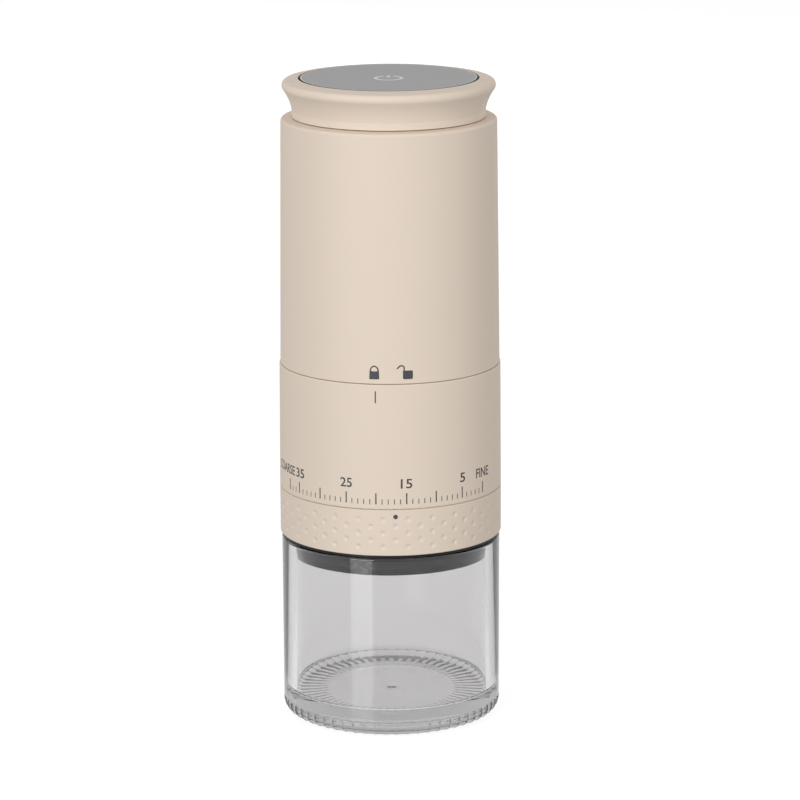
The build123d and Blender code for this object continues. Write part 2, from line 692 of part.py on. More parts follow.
def lower_dog():
    top = DOG_Z + DOG_PLATE
    dog = rod(DOG_R, DOG_Z, top)
    dog += [
        tube(DOG_BORE_R, DOG_R, top, top + DOG_LUG_HEIGHT, arc=2 * LOWER_DOG_HALF, start=angle - LOWER_DOG_HALF)
        for angle in (0, 180)
    ]
    save("lower_dog", dog - rod(SHAFT_R, DOG_Z, top))


def upper_dog():
    foot = DOG_Z + DOG_PLATE + DOG_GAP
    plate = foot + DOG_LUG_HEIGHT
    dog = rod(DOG_R, plate, UPPER_DOG_TOP_Z)
    dog += [
        tube(
            DOG_BORE_R,
            DOG_R,
            foot,
            plate,
            arc=2 * UPPER_DOG_HALF,
            start=UPPER_DOG_ANGLE + angle - UPPER_DOG_HALF,
        )
        for angle in (0, 180)
    ]
    save("upper_dog", dog - rod(OUTPUT_R, plate, UPPER_DOG_TOP_Z))


# The printed lower body
def grinder_housing():
    grip = SLEEVE_R + SLIDE
    housing = turned(
        (BODY_BORE_R, BODY_Z),
        (BODY_R, BODY_Z, 0.25),
        (BODY_SEAM_R, SEAM_Z, 0.3),
        (HOPPER_R, SEAM_Z, 0.3),
        (HOPPER_R, HOPPER_RIM_Z),
        (grip, HOPPER_RIM_Z),
        (grip, HOPPER_RIM_Z - 1.5),
        (BODY_BORE_R, HOPPER_RIM_Z - 2.5),
        (BODY_BORE_R, STEP_TOP_Z + 2.0),
        (grip, STEP_TOP_Z + 2.0),
        (grip, STEP_TOP_Z),
        (BODY_BORE_R, STEP_TOP_Z),
    )
    save("grinder_housing", housing)


# The gasket round the motor unit's spigot
def hopper_gasket():
    z0 = HOPPER_TOP_Z + RUN
    z1 = FLANGE_FOOT_Z - RUN
    save("hopper_gasket", tube(SPIGOT_R + RUN, HOPPER_R - 0.4, z0, z1))


# The motor unit's black bottom, with its spigot, lugs and bearing hub
FLANGE_FOOT_Z = SEAM_Z - 0.5
BULKHEAD_T = 2.9
BULKHEAD_TOP_Z = FLANGE_FOOT_Z + BULKHEAD_T
SPIGOT_BORE_R = SPIGOT_R - SPIGOT_WALL
BULKHEAD_R = CASE_FOOT_R - CASE_WALL - 0.2
NOSE_R = OUTPUT_BEARING_R + 2.5
UPPER_DOG_TOP_Z = DOG_Z + DOG_PLATE + DOG_GAP + DOG_LUG_HEIGHT + 2.4
NOSE_Z = UPPER_DOG_TOP_Z + 0.3
NOSE_LIP = 0.7
OUTPUT_BEARING_WIDTH = 5.0
NOSE_TOP_Z = BULKHEAD_TOP_Z + 1.0
CHASSIS_SCREW_R = 1.25
CHASSIS_SCREW_HEAD_R = 2.1
CHASSIS_SCREW_AT = SPIGOT_BORE_R - CHASSIS_SCREW_HEAD_R - 1.3
CHASSIS_SCREW_ANGLES = even(4, 45)
CHASSIS_SCREW_HEAD = 1.4
CHASSIS_SCREW_LENGTH = 9.0


def motor_bulkhead():
    plate = turned(
        (OUTPUT_BEARING_R - 2, NOSE_Z),
        (NOSE_R, NOSE_Z, 0.8),
        (NOSE_R, FLANGE_FOOT_Z, 1.0),
        (SPIGOT_BORE_R, FLANGE_FOOT_Z, 0.6),
        (SPIGOT_BORE_R, LUG_Z),
        (SPIGOT_R, LUG_Z, 0.5),
        (SPIGOT_R, FLANGE_FOOT_Z),
        (BULKHEAD_R, FLANGE_FOOT_Z),
        (BULKHEAD_R, BULKHEAD_TOP_Z),
        (RING_GEAR_BORE_R, BULKHEAD_TOP_Z),
        (RING_GEAR_BORE_R - 1, NOSE_TOP_Z),
        (OUTPUT_BEARING_R, NOSE_TOP_Z),
        (OUTPUT_BEARING_R, NOSE_Z + NOSE_LIP),
        (OUTPUT_BEARING_R - 2, NOSE_Z + NOSE_LIP),
    )
    lugs = [
        tube(
            SPIGOT_R - 0.5, SPIGOT_R + LUG_REACH, LUG_Z, LUG_Z + LUG_HEIGHT, arc=LUG_WIDTH, start=angle - LUG_WIDTH / 2
        )
        for angle in LUG_ANGLES
    ]
    head_top = FLANGE_FOOT_Z + CHASSIS_SCREW_HEAD
    cuts = [rod(CHASSIS_SCREW_R, FLANGE_FOOT_Z, BULKHEAD_TOP_Z, CHASSIS_SCREW_AT, a) for a in CHASSIS_SCREW_ANGLES]
    cuts += [rod(CHASSIS_SCREW_HEAD_R, FLANGE_FOOT_Z, head_top, CHASSIS_SCREW_AT, a) for a in CHASSIS_SCREW_ANGLES]
    save("motor_bulkhead", plate + lugs - cuts)
    bearing_z = NOSE_Z + NOSE_LIP
    save("output_bearing", tube(OUTPUT_R + RUN, OUTPUT_BEARING_R, bearing_z, bearing_z + OUTPUT_BEARING_WIDTH))
    screws = [
        screw(
            CHASSIS_SCREW_R, CHASSIS_SCREW_HEAD_R, CHASSIS_SCREW_HEAD, head_top, CHASSIS_SCREW_LENGTH,
            CHASSIS_SCREW_AT, angle, down=False,
        )
        for angle in CHASSIS_SCREW_ANGLES
    ]
    save("chassis_screws", *screws)


# The gearbox: a fixed ring gear, three planets on the output carrier and the motor's pinion
PITCH_SUN = MODULE * SUN_TEETH / 2
PITCH_PLANET = MODULE * PLANET_TEETH / 2
PITCH_RING = MODULE * RING_TEETH / 2
PLANET_AT = PITCH_SUN + PITCH_PLANET
RING_GEAR_R = PITCH_RING + 2.5
RING_GEAR_BORE_R = PITCH_RING + DEDENDUM
CARRIER_PLATE_Z = NOSE_TOP_Z + 0.3
CARRIER_PLATE = 3.0
GEAR_Z = CARRIER_PLATE_Z + CARRIER_PLATE + 0.3
GEAR_TOP_Z = GEAR_Z + GEAR_WIDTH
COVER_Z = GEAR_TOP_Z + 1.0
COVER_T = 2.0
MOTOR_Z = COVER_Z + COVER_T
PLANET_PIN_R = 1.5
GEARBOX_FLANGE_R = 19.5
GEARBOX_SCREW_AT = 17.9


def involute(angle):
    return tan(angle) - angle


def gear_face(teeth, tip_r, root_r, thickness, turn=0):
    """The face of a spur gear, whose flanks are arcs through three points of the involute."""
    pitch_r = MODULE * teeth / 2
    base_r = pitch_r * cos(PRESSURE)

    def half(r):
        """Half the angle that one tooth fills at the radius r."""
        return thickness / 2 / pitch_r + involute(PRESSURE) - involute(acos(min(1, base_r / r)))

    def at(r, angle):
        return (r * cos(angle), r * sin(angle))

    low_r = max(base_r, root_r)
    mid_r = (low_r + tip_r) / 2
    edges = []
    for tooth in range(teeth):
        axis = radians(turn) + 2 * pi * tooth / teeth
        following = axis + 2 * pi / teeth
        if root_r < low_r:
            edges.append(Line(at(root_r, axis - half(low_r)), at(low_r, axis - half(low_r))))
        edges.append(ThreePointArc(*[at(r, axis - half(r)) for r in (low_r, mid_r, tip_r)]))
        edges.append(Line(at(tip_r, axis - half(tip_r)), at(tip_r, axis + half(tip_r))))
        edges.append(ThreePointArc(*[at(r, axis + half(r)) for r in (tip_r, mid_r, low_r)]))
        if root_r < low_r:
            edges.append(Line(at(low_r, axis + half(low_r)), at(root_r, axis + half(low_r))))
        edges.append(Line(at(root_r, axis + half(low_r)), at(root_r, following - half(low_r))))
    return make_face(edges)


def gear(teeth, z0, z1, turn=0):
    pitch_r = MODULE * teeth / 2
    face = gear_face(teeth, pitch_r + ADDENDUM, pitch_r - DEDENDUM, pi * MODULE / 2 - BACKLASH, turn)
    return extrude(Pos(0, 0, z0) * face, amount=z1 - z0, dir=(0, 0, 1))


def gearbox():
    spaces = gear_face(
        RING_TEETH,
        PITCH_RING + DEDENDUM,
        PITCH_RING - ADDENDUM,
        pi * MODULE / 2 + BACKLASH,
        180 / RING_TEETH,
    )
    shell = turned(
        (0, BULKHEAD_TOP_Z),
        (GEARBOX_FLANGE_R, BULKHEAD_TOP_Z),
        (GEARBOX_FLANGE_R, BULKHEAD_TOP_Z + 1.5),
        (RING_GEAR_R, BULKHEAD_TOP_Z + 1.5),
        (RING_GEAR_R, COVER_Z),
        (0, COVER_Z),
    )
    shell -= rod(RING_GEAR_BORE_R, BULKHEAD_TOP_Z, GEAR_Z - 0.2)
    teeth_cut = extrude(Pos(0, 0, GEAR_Z - 0.2) * spaces, amount=COVER_Z - GEAR_Z + 0.2, dir=(0, 0, 1))
    save("ring_gear", shell - teeth_cut)

    # The pinion has a tooth and each planet a space on the line between their centres
    pinion = gear(SUN_TEETH, GEAR_Z - 0.1, COVER_Z - 0.2)
    save("sun_pinion", pinion - rod(MOTOR_SHAFT_R, GEAR_Z - 0.2, COVER_Z))
    planet = gear(PLANET_TEETH, GEAR_Z, GEAR_TOP_Z, 180 / PLANET_TEETH)
    planet -= rod(PLANET_PIN_R + RUN, GEAR_Z, GEAR_TOP_Z)
    for number, angle in enumerate(even(PLANETS), start=1):
        save(f"planet_{number}", Rot(Z=angle) * Pos(PLANET_AT, 0, 0) * planet)

    shaft_foot = UPPER_DOG_TOP_Z - 2.4
    plate_r = PLANET_AT + PLANET_PIN_R + 2.0
    carrier = rod(plate_r, CARRIER_PLATE_Z, CARRIER_PLATE_Z + CARRIER_PLATE)
    carrier += rod(OUTPUT_R + 1.0, NOSE_Z + NOSE_LIP + OUTPUT_BEARING_WIDTH + 0.1, CARRIER_PLATE_Z)
    carrier += rod(OUTPUT_R, shaft_foot, CARRIER_PLATE_Z)
    carrier -= [rod(PLANET_PIN_R, CARRIER_PLATE_Z, GEAR_Z, PLANET_AT, angle) for angle in even(PLANETS)]
    save("planet_carrier", carrier)
    pins = [rod(PLANET_PIN_R, CARRIER_PLATE_Z, GEAR_TOP_Z + 0.4, PLANET_AT, angle) for angle in even(PLANETS)]
    save("carrier_pins", *pins)

    cover = rod(RING_GEAR_R, COVER_Z, MOTOR_Z) - rod(PITCH_SUN + ADDENDUM + 0.5, COVER_Z, MOTOR_Z)
    head_top = COVER_Z + SCREW_HEAD
    cover -= [rod(SCREW_R, COVER_Z, MOTOR_Z, MOTOR_SCREW_AT, angle) for angle in MOTOR_SCREW_ANGLES]
    cover -= [rod(SCREW_HEAD_R, COVER_Z, head_top, MOTOR_SCREW_AT, angle) for angle in MOTOR_SCREW_ANGLES]
    save("gearbox_cover", cover)
    screws = [
        screw(SCREW_R, SCREW_HEAD_R, SCREW_HEAD, head_top, MOTOR_SCREW_LENGTH, MOTOR_SCREW_AT, angle, down=False)
        for angle in MOTOR_SCREW_ANGLES
    ]
    save("gearbox_screws", *screws)


# The motor and the frame that holds it and the cells
MOTOR_SCREW_AT = 9.0
MOTOR_SCREW_ANGLES = (90, 270)
MOTOR_SCREW_LENGTH = 3.0
CHASSIS_R = CASE_TOP_R - CASE_WALL - 0.5
CELL_CENTRE_R = CHASSIS_R - CELL_R - 0.1
LOWER_PLATE_Z = BULKHEAD_TOP_Z
CELL_Z = LOWER_PLATE_Z + 4.5
CELL_ROOM = 0.2
UPPER_PLATE_Z = CELL_Z + CELL_LENGTH + 2 * CELL_ROOM
UPPER_PLATE = 2.5
PILLAR_R = 3.0
CELL_ANGLES = (0, 180)
MOTOR_END_R = 5.0
MOTOR_END = 1.2


def motor():
    top = UPPER_PLATE_Z - 0.15
    can = turned(
        (0, MOTOR_Z),
        (MOTOR_R, MOTOR_Z, 0.8),
        (MOTOR_R, top - MOTOR_END, 1.5),
        (MOTOR_END_R, top - MOTOR_END),
        (MOTOR_END_R, top),
        (0, top),
    )
    shaft_top = MOTOR_Z + 6
    cuts = [rod(MOTOR_SHAFT_R + RUN, MOTOR_Z, shaft_top)]
    cuts += [rod(SCREW_R, MOTOR_Z, MOTOR_Z + 3, MOTOR_SCREW_AT, angle) for angle in MOTOR_SCREW_ANGLES]
    save("motor_can", can - cuts)
    save("motor_shaft", rod(MOTOR_SHAFT_R, GEAR_Z - 0.1, shaft_top - 0.2))


def battery_cells():
    cells = []
    for angle in CELL_ANGLES:
        foot = CELL_Z + CELL_ROOM
        top = foot + CELL_LENGTH
        body = turned((0, foot), (CELL_R, foot, 0.6), (CELL_R, top - 1.0, 0.6), (2.6, top - 1.0), (2.6, top), (0, top))
        cells.append(Rot(Z=angle) * Pos(CELL_CENTRE_R, 0, 0) * body)
    save("battery_cells", *cells)


def chassis_frame():
    lower = tube(GEARBOX_FLANGE_R + SEAT, CHASSIS_R, LOWER_PLATE_Z, CELL_Z)
    upper = tube(MOTOR_END_R - 1.0, CHASSIS_R, UPPER_PLATE_Z, UPPER_PLATE_Z + UPPER_PLATE)
    pillars = [rod(PILLAR_R, CELL_Z - 0.5, UPPER_PLATE_Z + 0.5, CHASSIS_SCREW_AT, a) for a in CHASSIS_SCREW_ANGLES]
    posts = [rod(POST_R, UPPER_PLATE_Z + 0.5, CAP_SPIGOT_Z, POST_AT, angle) for angle in POST_ANGLES]
    frame = lower + upper + pillars + posts
    screw_top = FLANGE_FOOT_Z + CHASSIS_SCREW_HEAD + CHASSIS_SCREW_LENGTH
    cuts = [rod(CHASSIS_SCREW_R, LOWER_PLATE_Z, screw_top, CHASSIS_SCREW_AT, a) for a in CHASSIS_SCREW_ANGLES]
    cuts += [rod(SCREW_R, CAP_SPIGOT_Z - POST_SCREW, CAP_SPIGOT_Z, POST_AT, angle) for angle in POST_ANGLES]
    save("chassis_frame", frame - cuts)


# The control board under the cap, with the push switch and the charging socket
BOARD_Z = CASE_TOP_Z - 8.4
SOCKET_WIDTH = 8.94
SOCKET_HEIGHT = 3.2
SOCKET_LENGTH = 7.4
SOCKET_RECESS = 0.7
SOCKET_ROOM = 0.3
SWITCH_SIZE = 6.0
SOCKET_Z = BOARD_Z + BOARD_T
SWITCH_TOP_Z = SOCKET_Z + 3.8
PLUNGER_R = 1.7
PLUNGER_Z = SWITCH_TOP_Z - 0.6


def case_radius(z):
    """The outer radius of the tapered upper case at the height z."""
    return CASE_FOOT_R + (CASE_TOP_R - CASE_FOOT_R) * (z - CASE_Z) / (CASE_TOP_Z - CASE_Z)


def control_board():
    socket_end = case_radius(SOCKET_Z) - SOCKET_RECESS
    tongue = block(-6, 6, BOARD_R - 4, socket_end - 3, BOARD_Z, SOCKET_Z)
    board = rod(BOARD_R, BOARD_Z, SOCKET_Z) + tongue
    save("control_board", board)

    half = SOCKET_WIDTH / 2
    middle = SOCKET_Z + SOCKET_HEIGHT / 2
    face = Pos(0, 0) * SlotOverall(SOCKET_WIDTH, SOCKET_HEIGHT) - SlotOverall(SOCKET_WIDTH - 0.7, SOCKET_HEIGHT - 0.7)
    back = Plane(origin=(0, socket_end, middle), x_dir=(1, 0, 0), z_dir=(0, -1, 0))
    shell = extrude(back * face, amount=SOCKET_LENGTH)
    shell += block(-half + 2, half - 2, socket_end - SOCKET_LENGTH, socket_end - 5.5, SOCKET_Z + 0.2, SOCKET_Z + 3.0)
    tongue_plate = block(-3.3, 3.3, socket_end - 6.0, socket_end - 0.9, middle - 0.35, middle + 0.35)
    save("usb_socket", shell + tongue_plate)

    edge = SWITCH_SIZE / 2
    body = block(-edge, edge, -edge, edge, SOCKET_Z, SWITCH_TOP_Z)
    save("tact_switch", body - rod(PLUNGER_R + SLIDE, PLUNGER_Z - BUTTON_TRAVEL - 0.6, SWITCH_TOP_Z))


# The upper case, with the slot for the charging socket in its back
CASE_PLATE = 2.1
CASE_HOLE_R = CAP_NECK_R - 1.9


def upper_housing():
    bore_foot = CASE_FOOT_R - CASE_WALL
    bore_top = CASE_TOP_R - CASE_WALL
    plate_z = CASE_TOP_Z - CASE_PLATE
    case = turned(
        (bore_foot, CASE_Z),
        (CASE_FOOT_R, CASE_Z, 0.3),
        (CASE_TOP_R, CASE_TOP_Z - 0.35, 0.9),
        (CAP_NECK_R, CASE_TOP_Z),
        (CASE_HOLE_R, CASE_TOP_Z),
        (CASE_HOLE_R, plate_z),
        (bore_top, plate_z),
    )
    middle = SOCKET_Z + SOCKET_HEIGHT / 2
    slot = SlotOverall(SOCKET_WIDTH + 2 * SOCKET_ROOM, SOCKET_HEIGHT + 2 * SOCKET_ROOM)
    back = Plane(origin=(0, CASE_TOP_R + 2, middle), x_dir=(1, 0, 0), z_dir=(0, -1, 0))
    save("upper_housing", case - extrude(back * slot, amount=CASE_WALL + 4))


# The flared cap, with the pocket that the button sits in
CAP_Z = CASE_TOP_Z + 0.3
CAP_SPIGOT_R = CASE_HOLE_R - SLIDE
CAP_SPIGOT_Z = CASE_TOP_Z - CASE_PLATE - 0.7
CAP_BORE_R = CAP_SPIGOT_R - 4.9
BOARD_R = CAP_BORE_R - 1.3
CAP_POCKET_R = DISC_R + 0.3
CAP_POCKET_Z = CAP_TOP_Z - 5.0
CAP_FLOOR_Z = CAP_POCKET_Z - 2.0
CAP_SLANT = 0.7
CAP_RIM_R = CAP_LIP_R - 0.96
CAP_NECK_TOP_Z = CAP_TOP_Z - 9.6
CAP_LIP_Z = CAP_TOP_Z - 2.3
POST_R = 2.3
POST_AT = CAP_BORE_R + POST_R
POST_ANGLES = even(4, 45)
POST_SCREW = 6.0
STEM_R = 3.0
GUIDE_R = 1.6
GUIDE_AT = CAP_BORE_R - 6.3
GUIDE_ANGLES = even(3, 90)


def cap_profile():
    """Half the section of the cap: a slanted rim, a rounded lip and a hollow flare down to the neck."""
    rim = (CAP_RIM_R, CAP_TOP_Z - CAP_SLANT)
    lip = (CAP_LIP_R, CAP_LIP_Z)
    under = (CAP_LIP_R - 0.4, CAP_LIP_Z - 1.1)
    neck = (CAP_NECK_R, CAP_NECK_TOP_Z)
    return [
        Line((CAP_POCKET_R, CAP_TOP_Z), rim),
        ThreePointArc(rim, (CAP_LIP_R - 0.25, CAP_LIP_Z + 1.0), lip),
        ThreePointArc(lip, (CAP_LIP_R - 0.1, CAP_LIP_Z - 0.6), under),
        ThreePointArc(under, (CAP_NECK_R + 1.1, CAP_TOP_Z - 6.1), neck),
        Line(neck, (CAP_NECK_R, CAP_Z)),
        Line((CAP_NECK_R, CAP_Z), (CAP_SPIGOT_R, CAP_Z)),
        Line((CAP_SPIGOT_R, CAP_Z), (CAP_SPIGOT_R, CAP_SPIGOT_Z)),
        Line((CAP_SPIGOT_R, CAP_SPIGOT_Z), (CAP_BORE_R, CAP_SPIGOT_Z)),
        Line((CAP_BORE_R, CAP_SPIGOT_Z), (CAP_BORE_R, CAP_FLOOR_Z)),
        Line((CAP_BORE_R, CAP_FLOOR_Z), (0, CAP_FLOOR_Z)),
        Line((0, CAP_FLOOR_Z), (0, CAP_POCKET_Z)),
        Line((0, CAP_POCKET_Z), (CAP_POCKET_R, CAP_POCKET_Z)),
        Line((CAP_POCKET_R, CAP_POCKET_Z), (CAP_POCKET_R, CAP_TOP_Z)),
    ]


def top_cap():
    cap = revolve(Plane.XZ * make_face(cap_profile()), axis=Axis.Z)
    head_z = CAP_POCKET_Z - SCREW_HEAD - 0.2
    cuts = [rod(SCREW_R, CAP_SPIGOT_Z, CAP_POCKET_Z, POST_AT, angle) for angle in POST_ANGLES]
    cuts += [rod(SCREW_HEAD_R + 0.1, head_z, CAP_POCKET_Z, POST_AT, angle) for angle in POST_ANGLES]
    cuts += [rod(GUIDE_R + 0.15, CAP_FLOOR_Z, CAP_POCKET_Z, GUIDE_AT, angle) for angle in GUIDE_ANGLES]
    cuts.append(rod(STEM_R + 0.15, CAP_FLOOR_Z, CAP_POCKET_Z))
    save("top_cap", cap - cuts)
    screws = [
        screw(SCREW_R, SCREW_HEAD_R, SCREW_HEAD, head_z, head_z - CAP_SPIGOT_Z + POST_SCREW - 0.2, POST_AT, angle)
        for angle in POST_ANGLES
    ]
    save("cap_screws", *screws)


# The power button: a metal disc on a plastic plunger that reaches down to the switch
PLUNGER_PLATE = 2.0
LIGHT_R = 5.4
LIGHT_T = 1.0
STEM_Z = SWITCH_TOP_Z + BUTTON_TRAVEL + 0.4


def power_button():
    disc_z = CAP_TOP_Z - DISC_T
    plate_z = disc_z - PLUNGER_PLATE
    disc = turned((0, disc_z), (DISC_R, disc_z), (DISC_R, CAP_TOP_Z, 0.25), (0, CAP_TOP_Z))
    save("button_disc", disc)
    plunger = rod(DISC_R - 0.3, plate_z, disc_z) + rod(STEM_R, STEM_Z, plate_z)
    plunger += [rod(GUIDE_R, CAP_FLOOR_Z - 1.5, plate_z, GUIDE_AT, angle) for angle in GUIDE_ANGLES]
    save("button_carrier", plunger - rod(LIGHT_R, disc_z - LIGHT_T, disc_z))
    save("light_guide", rod(LIGHT_R, disc_z - LIGHT_T, disc_z))
    save("switch_plunger", rod(PLUNGER_R, PLUNGER_Z, STEM_Z))
    save("button_spring", tube(STEM_R + 0.8, STEM_R + 1.6, CAP_POCKET_Z, plate_z))


def main():
    os.makedirs("parts", exist_ok=True)
    jar()
    jar_collar()
    core_sleeve()
    detent()
    adjust_ring()
    burr_carrier()
    preload_spring()
    cone_burr()
    ring_burr()
    burr_shaft()
    bean_hopper()
    shaft_spider()
    lower_dog()
    upper_dog()
    grinder_housing()
    hopper_gasket()
    motor_bulkhead()
    gearbox()
    motor()
    battery_cells()
    chassis_frame()
    control_board()
    upper_housing()
    top_cap()
    power_button()


main()
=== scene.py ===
"""The looks of a cordless coffee grinder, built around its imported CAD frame.

Lengths in this script are millimetres, with z up from the jar's foot and -Y at the front. MM turns them
into Blender's metres. Angles are degrees round the axis, from the front towards +X.
"""

from math import ceil, cos, floor, hypot, pi, radians, sin, tan

import bmesh
import bpy
from mathutils import Matrix, Vector
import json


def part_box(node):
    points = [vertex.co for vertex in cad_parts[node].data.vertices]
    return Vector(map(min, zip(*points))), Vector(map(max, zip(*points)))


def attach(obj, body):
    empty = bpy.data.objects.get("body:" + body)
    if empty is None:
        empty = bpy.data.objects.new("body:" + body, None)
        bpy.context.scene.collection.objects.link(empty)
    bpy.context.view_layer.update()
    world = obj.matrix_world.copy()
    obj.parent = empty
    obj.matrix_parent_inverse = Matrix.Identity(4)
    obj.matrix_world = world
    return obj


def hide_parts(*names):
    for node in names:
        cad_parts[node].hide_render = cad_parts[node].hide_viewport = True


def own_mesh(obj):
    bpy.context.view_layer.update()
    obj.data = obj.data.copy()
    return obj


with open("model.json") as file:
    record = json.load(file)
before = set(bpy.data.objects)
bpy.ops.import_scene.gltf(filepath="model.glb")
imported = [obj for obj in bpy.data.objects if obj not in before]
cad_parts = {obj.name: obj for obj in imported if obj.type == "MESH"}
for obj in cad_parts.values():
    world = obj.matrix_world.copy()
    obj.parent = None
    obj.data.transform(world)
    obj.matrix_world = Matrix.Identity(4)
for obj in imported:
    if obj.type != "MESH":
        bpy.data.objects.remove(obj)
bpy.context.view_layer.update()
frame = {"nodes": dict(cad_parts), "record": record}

MM = 0.001

# The photograph's camera: place, downward pitch, roll and lens for an 800 x 800 frame
CAMERA_AT = (3.10, -1236.04, 393.4)
CAMERA_PITCH = 13.324
CAMERA_ROLL = -0.245
CAMERA_LENS = 181.03
SENSOR = 36.0


# Heights and radii, from the frame
def top(node):
    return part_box(node)[1][2] / MM


def foot(node):
    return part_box(node)[0][2] / MM


def radius(node):
    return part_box(node)[1][0] / MM


def bore(node):
    return min(hypot(corner.co.x, corner.co.y) for corner in frame["nodes"][node].data.vertices) / MM


def tapered(node, taper):
    """The radius of a node's wall at a height. The wall is widest at its foot."""
    foot_r, foot_z, height = radius(node), foot(node), top(node) - foot(node)
    return lambda z: foot_r - taper * (z - foot_z) / height


# Materials
def new_material(name):
    material = bpy.data.materials.new(name)
    material.use_nodes = True
    tree = material.node_tree
    return material, tree, tree.nodes["Principled BSDF"]


def add_node(tree, kind, **values):
    node = tree.nodes.new(kind)
    for key, value in values.items():
        if key in node.inputs:
            node.inputs[key].default_value = value
        else:
            setattr(node, key, value)
    return node


def noise(tree, scale, detail, stretch):
    """Noise in object space. The scale is in features per metre."""
    place = add_node(tree, "ShaderNodeTexCoord")
    mapping = add_node(tree, "ShaderNodeMapping")
    mapping.inputs["Scale"].default_value = stretch
    texture = add_node(tree, "ShaderNodeTexNoise", Scale=scale, Detail=detail)
    tree.links.new(place.outputs["Object"], mapping.inputs["Vector"])
    tree.links.new(mapping.outputs["Vector"], texture.inputs["Vector"])
    return texture.outputs["Fac"]


def spread(tree, value, low, high, out_low, out_high):
    """Maps a value between low and high onto another range."""
    ranged = add_node(tree, "ShaderNodeMapRange")
    for slot, number in zip(("From Min", "From Max", "To Min", "To Max"), (low, high, out_low, out_high)):
        ranged.inputs[slot].default_value = number
    tree.links.new(value, ranged.inputs["Value"])
    return ranged.outputs["Result"]


def larger(tree, first, second):
    either = add_node(tree, "ShaderNodeMath", operation="MAXIMUM")
    tree.links.new(first, either.inputs[0])
    tree.links.new(second, either.inputs[1])
    return either.outputs[0]


def srgb(*levels):
    """The linear colour of an 8-bit sRGB one."""
    linear = []
    for level in levels:
        part = level / 255
        linear.append(part / 12.92 if part <= 0.04045 else ((part + 0.055) / 1.055) ** 2.4)
    return (*linear, 1.0)


def tinted(tree, colour, value, amount):
    """A colour that the value makes a little lighter or darker."""
    mix = add_node(tree, "ShaderNodeMix", data_type="RGBA")
    factor = [socket for socket in mix.inputs if socket.name == "Factor" and socket.type == "VALUE"][0]
    low, high = [socket for socket in mix.inputs if socket.type == "RGBA"]
    low.default_value = tuple(part * (1 - amount) for part in colour[:3]) + (1.0,)
    high.default_value = tuple(min(part * (1 + amount), 1.0) for part in colour[:3]) + (1.0,)
    tree.links.new(value, factor)
    return [socket for socket in mix.outputs if socket.type == "RGBA"][0]


# How far a finish's roughness goes up and down with its mottling
UNEVEN_GLOSS = 0.03


def finish_of(
    name, colour, roughness, mottle, mottle_scale=60, grain_scale=3000, grain=0.02, stretch=(1, 1, 1)
):
    """A surface with faint mottling, uneven gloss and fine grain. The grain's depth is in millimetres."""
    material, tree, shader = new_material(name)
    patches = noise(tree, mottle_scale, detail=3.0, stretch=stretch)
    tree.links.new(tinted(tree, colour, patches, mottle), shader.inputs["Base Color"])
    gloss = spread(tree, patches, 0.3, 0.7, roughness - UNEVEN_GLOSS, roughness + UNEVEN_GLOSS)
    tree.links.new(gloss, shader.inputs["Roughness"])
    bump = add_node(tree, "ShaderNodeBump", Strength=1.0, Distance=grain * MM)
    tree.links.new(noise(tree, grain_scale, detail=1.0, stretch=stretch), bump.inputs["Height"])
    tree.links.new(bump.outputs["Normal"], shader.inputs["Normal"])
    return material, tree, shader


def moulded(name, colour, roughness, **looks):
    return finish_of(name, colour, roughness, **looks)[0]


def metal(name, colour, roughness, **looks):
    material, tree, shader = finish_of(name, colour, roughness, **looks)
    shader.inputs["Metallic"].default_value = 1.0
    return material


def soft_touch():
    """The shell's matt paint: faint warm and cool patches and a very fine orange peel."""
    material, tree, shader = finish_of(
        "beige_shell", srgb(223, 208, 192), 0.56, mottle=0.012, mottle_scale=45, grain_scale=2600, grain=0.006
    )
    shader.inputs["Specular IOR Level"].default_value = 0.35
    return material


def satin_black():
    """The collar's black plastic, with a faint sheen."""
    material, tree, shader = finish_of("black_plastic", srgb(17, 17, 19), 0.4, mottle=0.05, grain=0.008)
    shader.inputs["Specular IOR Level"].default_value = 0.3
    return material


def spun_alloy():
    """Matt anodised metal with fine turning marks round its middle."""
    material, tree, shader = new_material("disc_alloy")
    place = add_node(tree, "ShaderNodeTexCoord")
    flat = add_node(tree, "ShaderNodeVectorMath", operation="MULTIPLY")
    flat.inputs[1].default_value = (1, 1, 0)
    length = add_node(tree, "ShaderNodeVectorMath", operation="LENGTH")
    tree.links.new(place.outputs["Object"], flat.inputs[0])
    tree.links.new(flat.outputs["Vector"], length.inputs[0])
    marks = add_node(tree, "ShaderNodeTexNoise", noise_dimensions="1D", Scale=5200, Detail=3.0)
    tree.links.new(length.outputs["Value"], marks.inputs["W"])
    turning = marks.outputs["Fac"]
    tree.links.new(tinted(tree, srgb(174, 173, 173), turning, 0.04), shader.inputs["Base Color"])
    tree.links.new(spread(tree, turning, 0.3, 0.7, 0.41, 0.49), shader.inputs["Roughness"])
    bump = add_node(tree, "ShaderNodeBump", Strength=0.5, Distance=0.004 * MM)
    tree.links.new(turning, bump.inputs["Height"])
    tree.links.new(bump.outputs["Normal"], shader.inputs["Normal"])
    shader.inputs["Metallic"].default_value = 0.15
    shader.inputs["Specular IOR Level"].default_value = 0.05
    return material


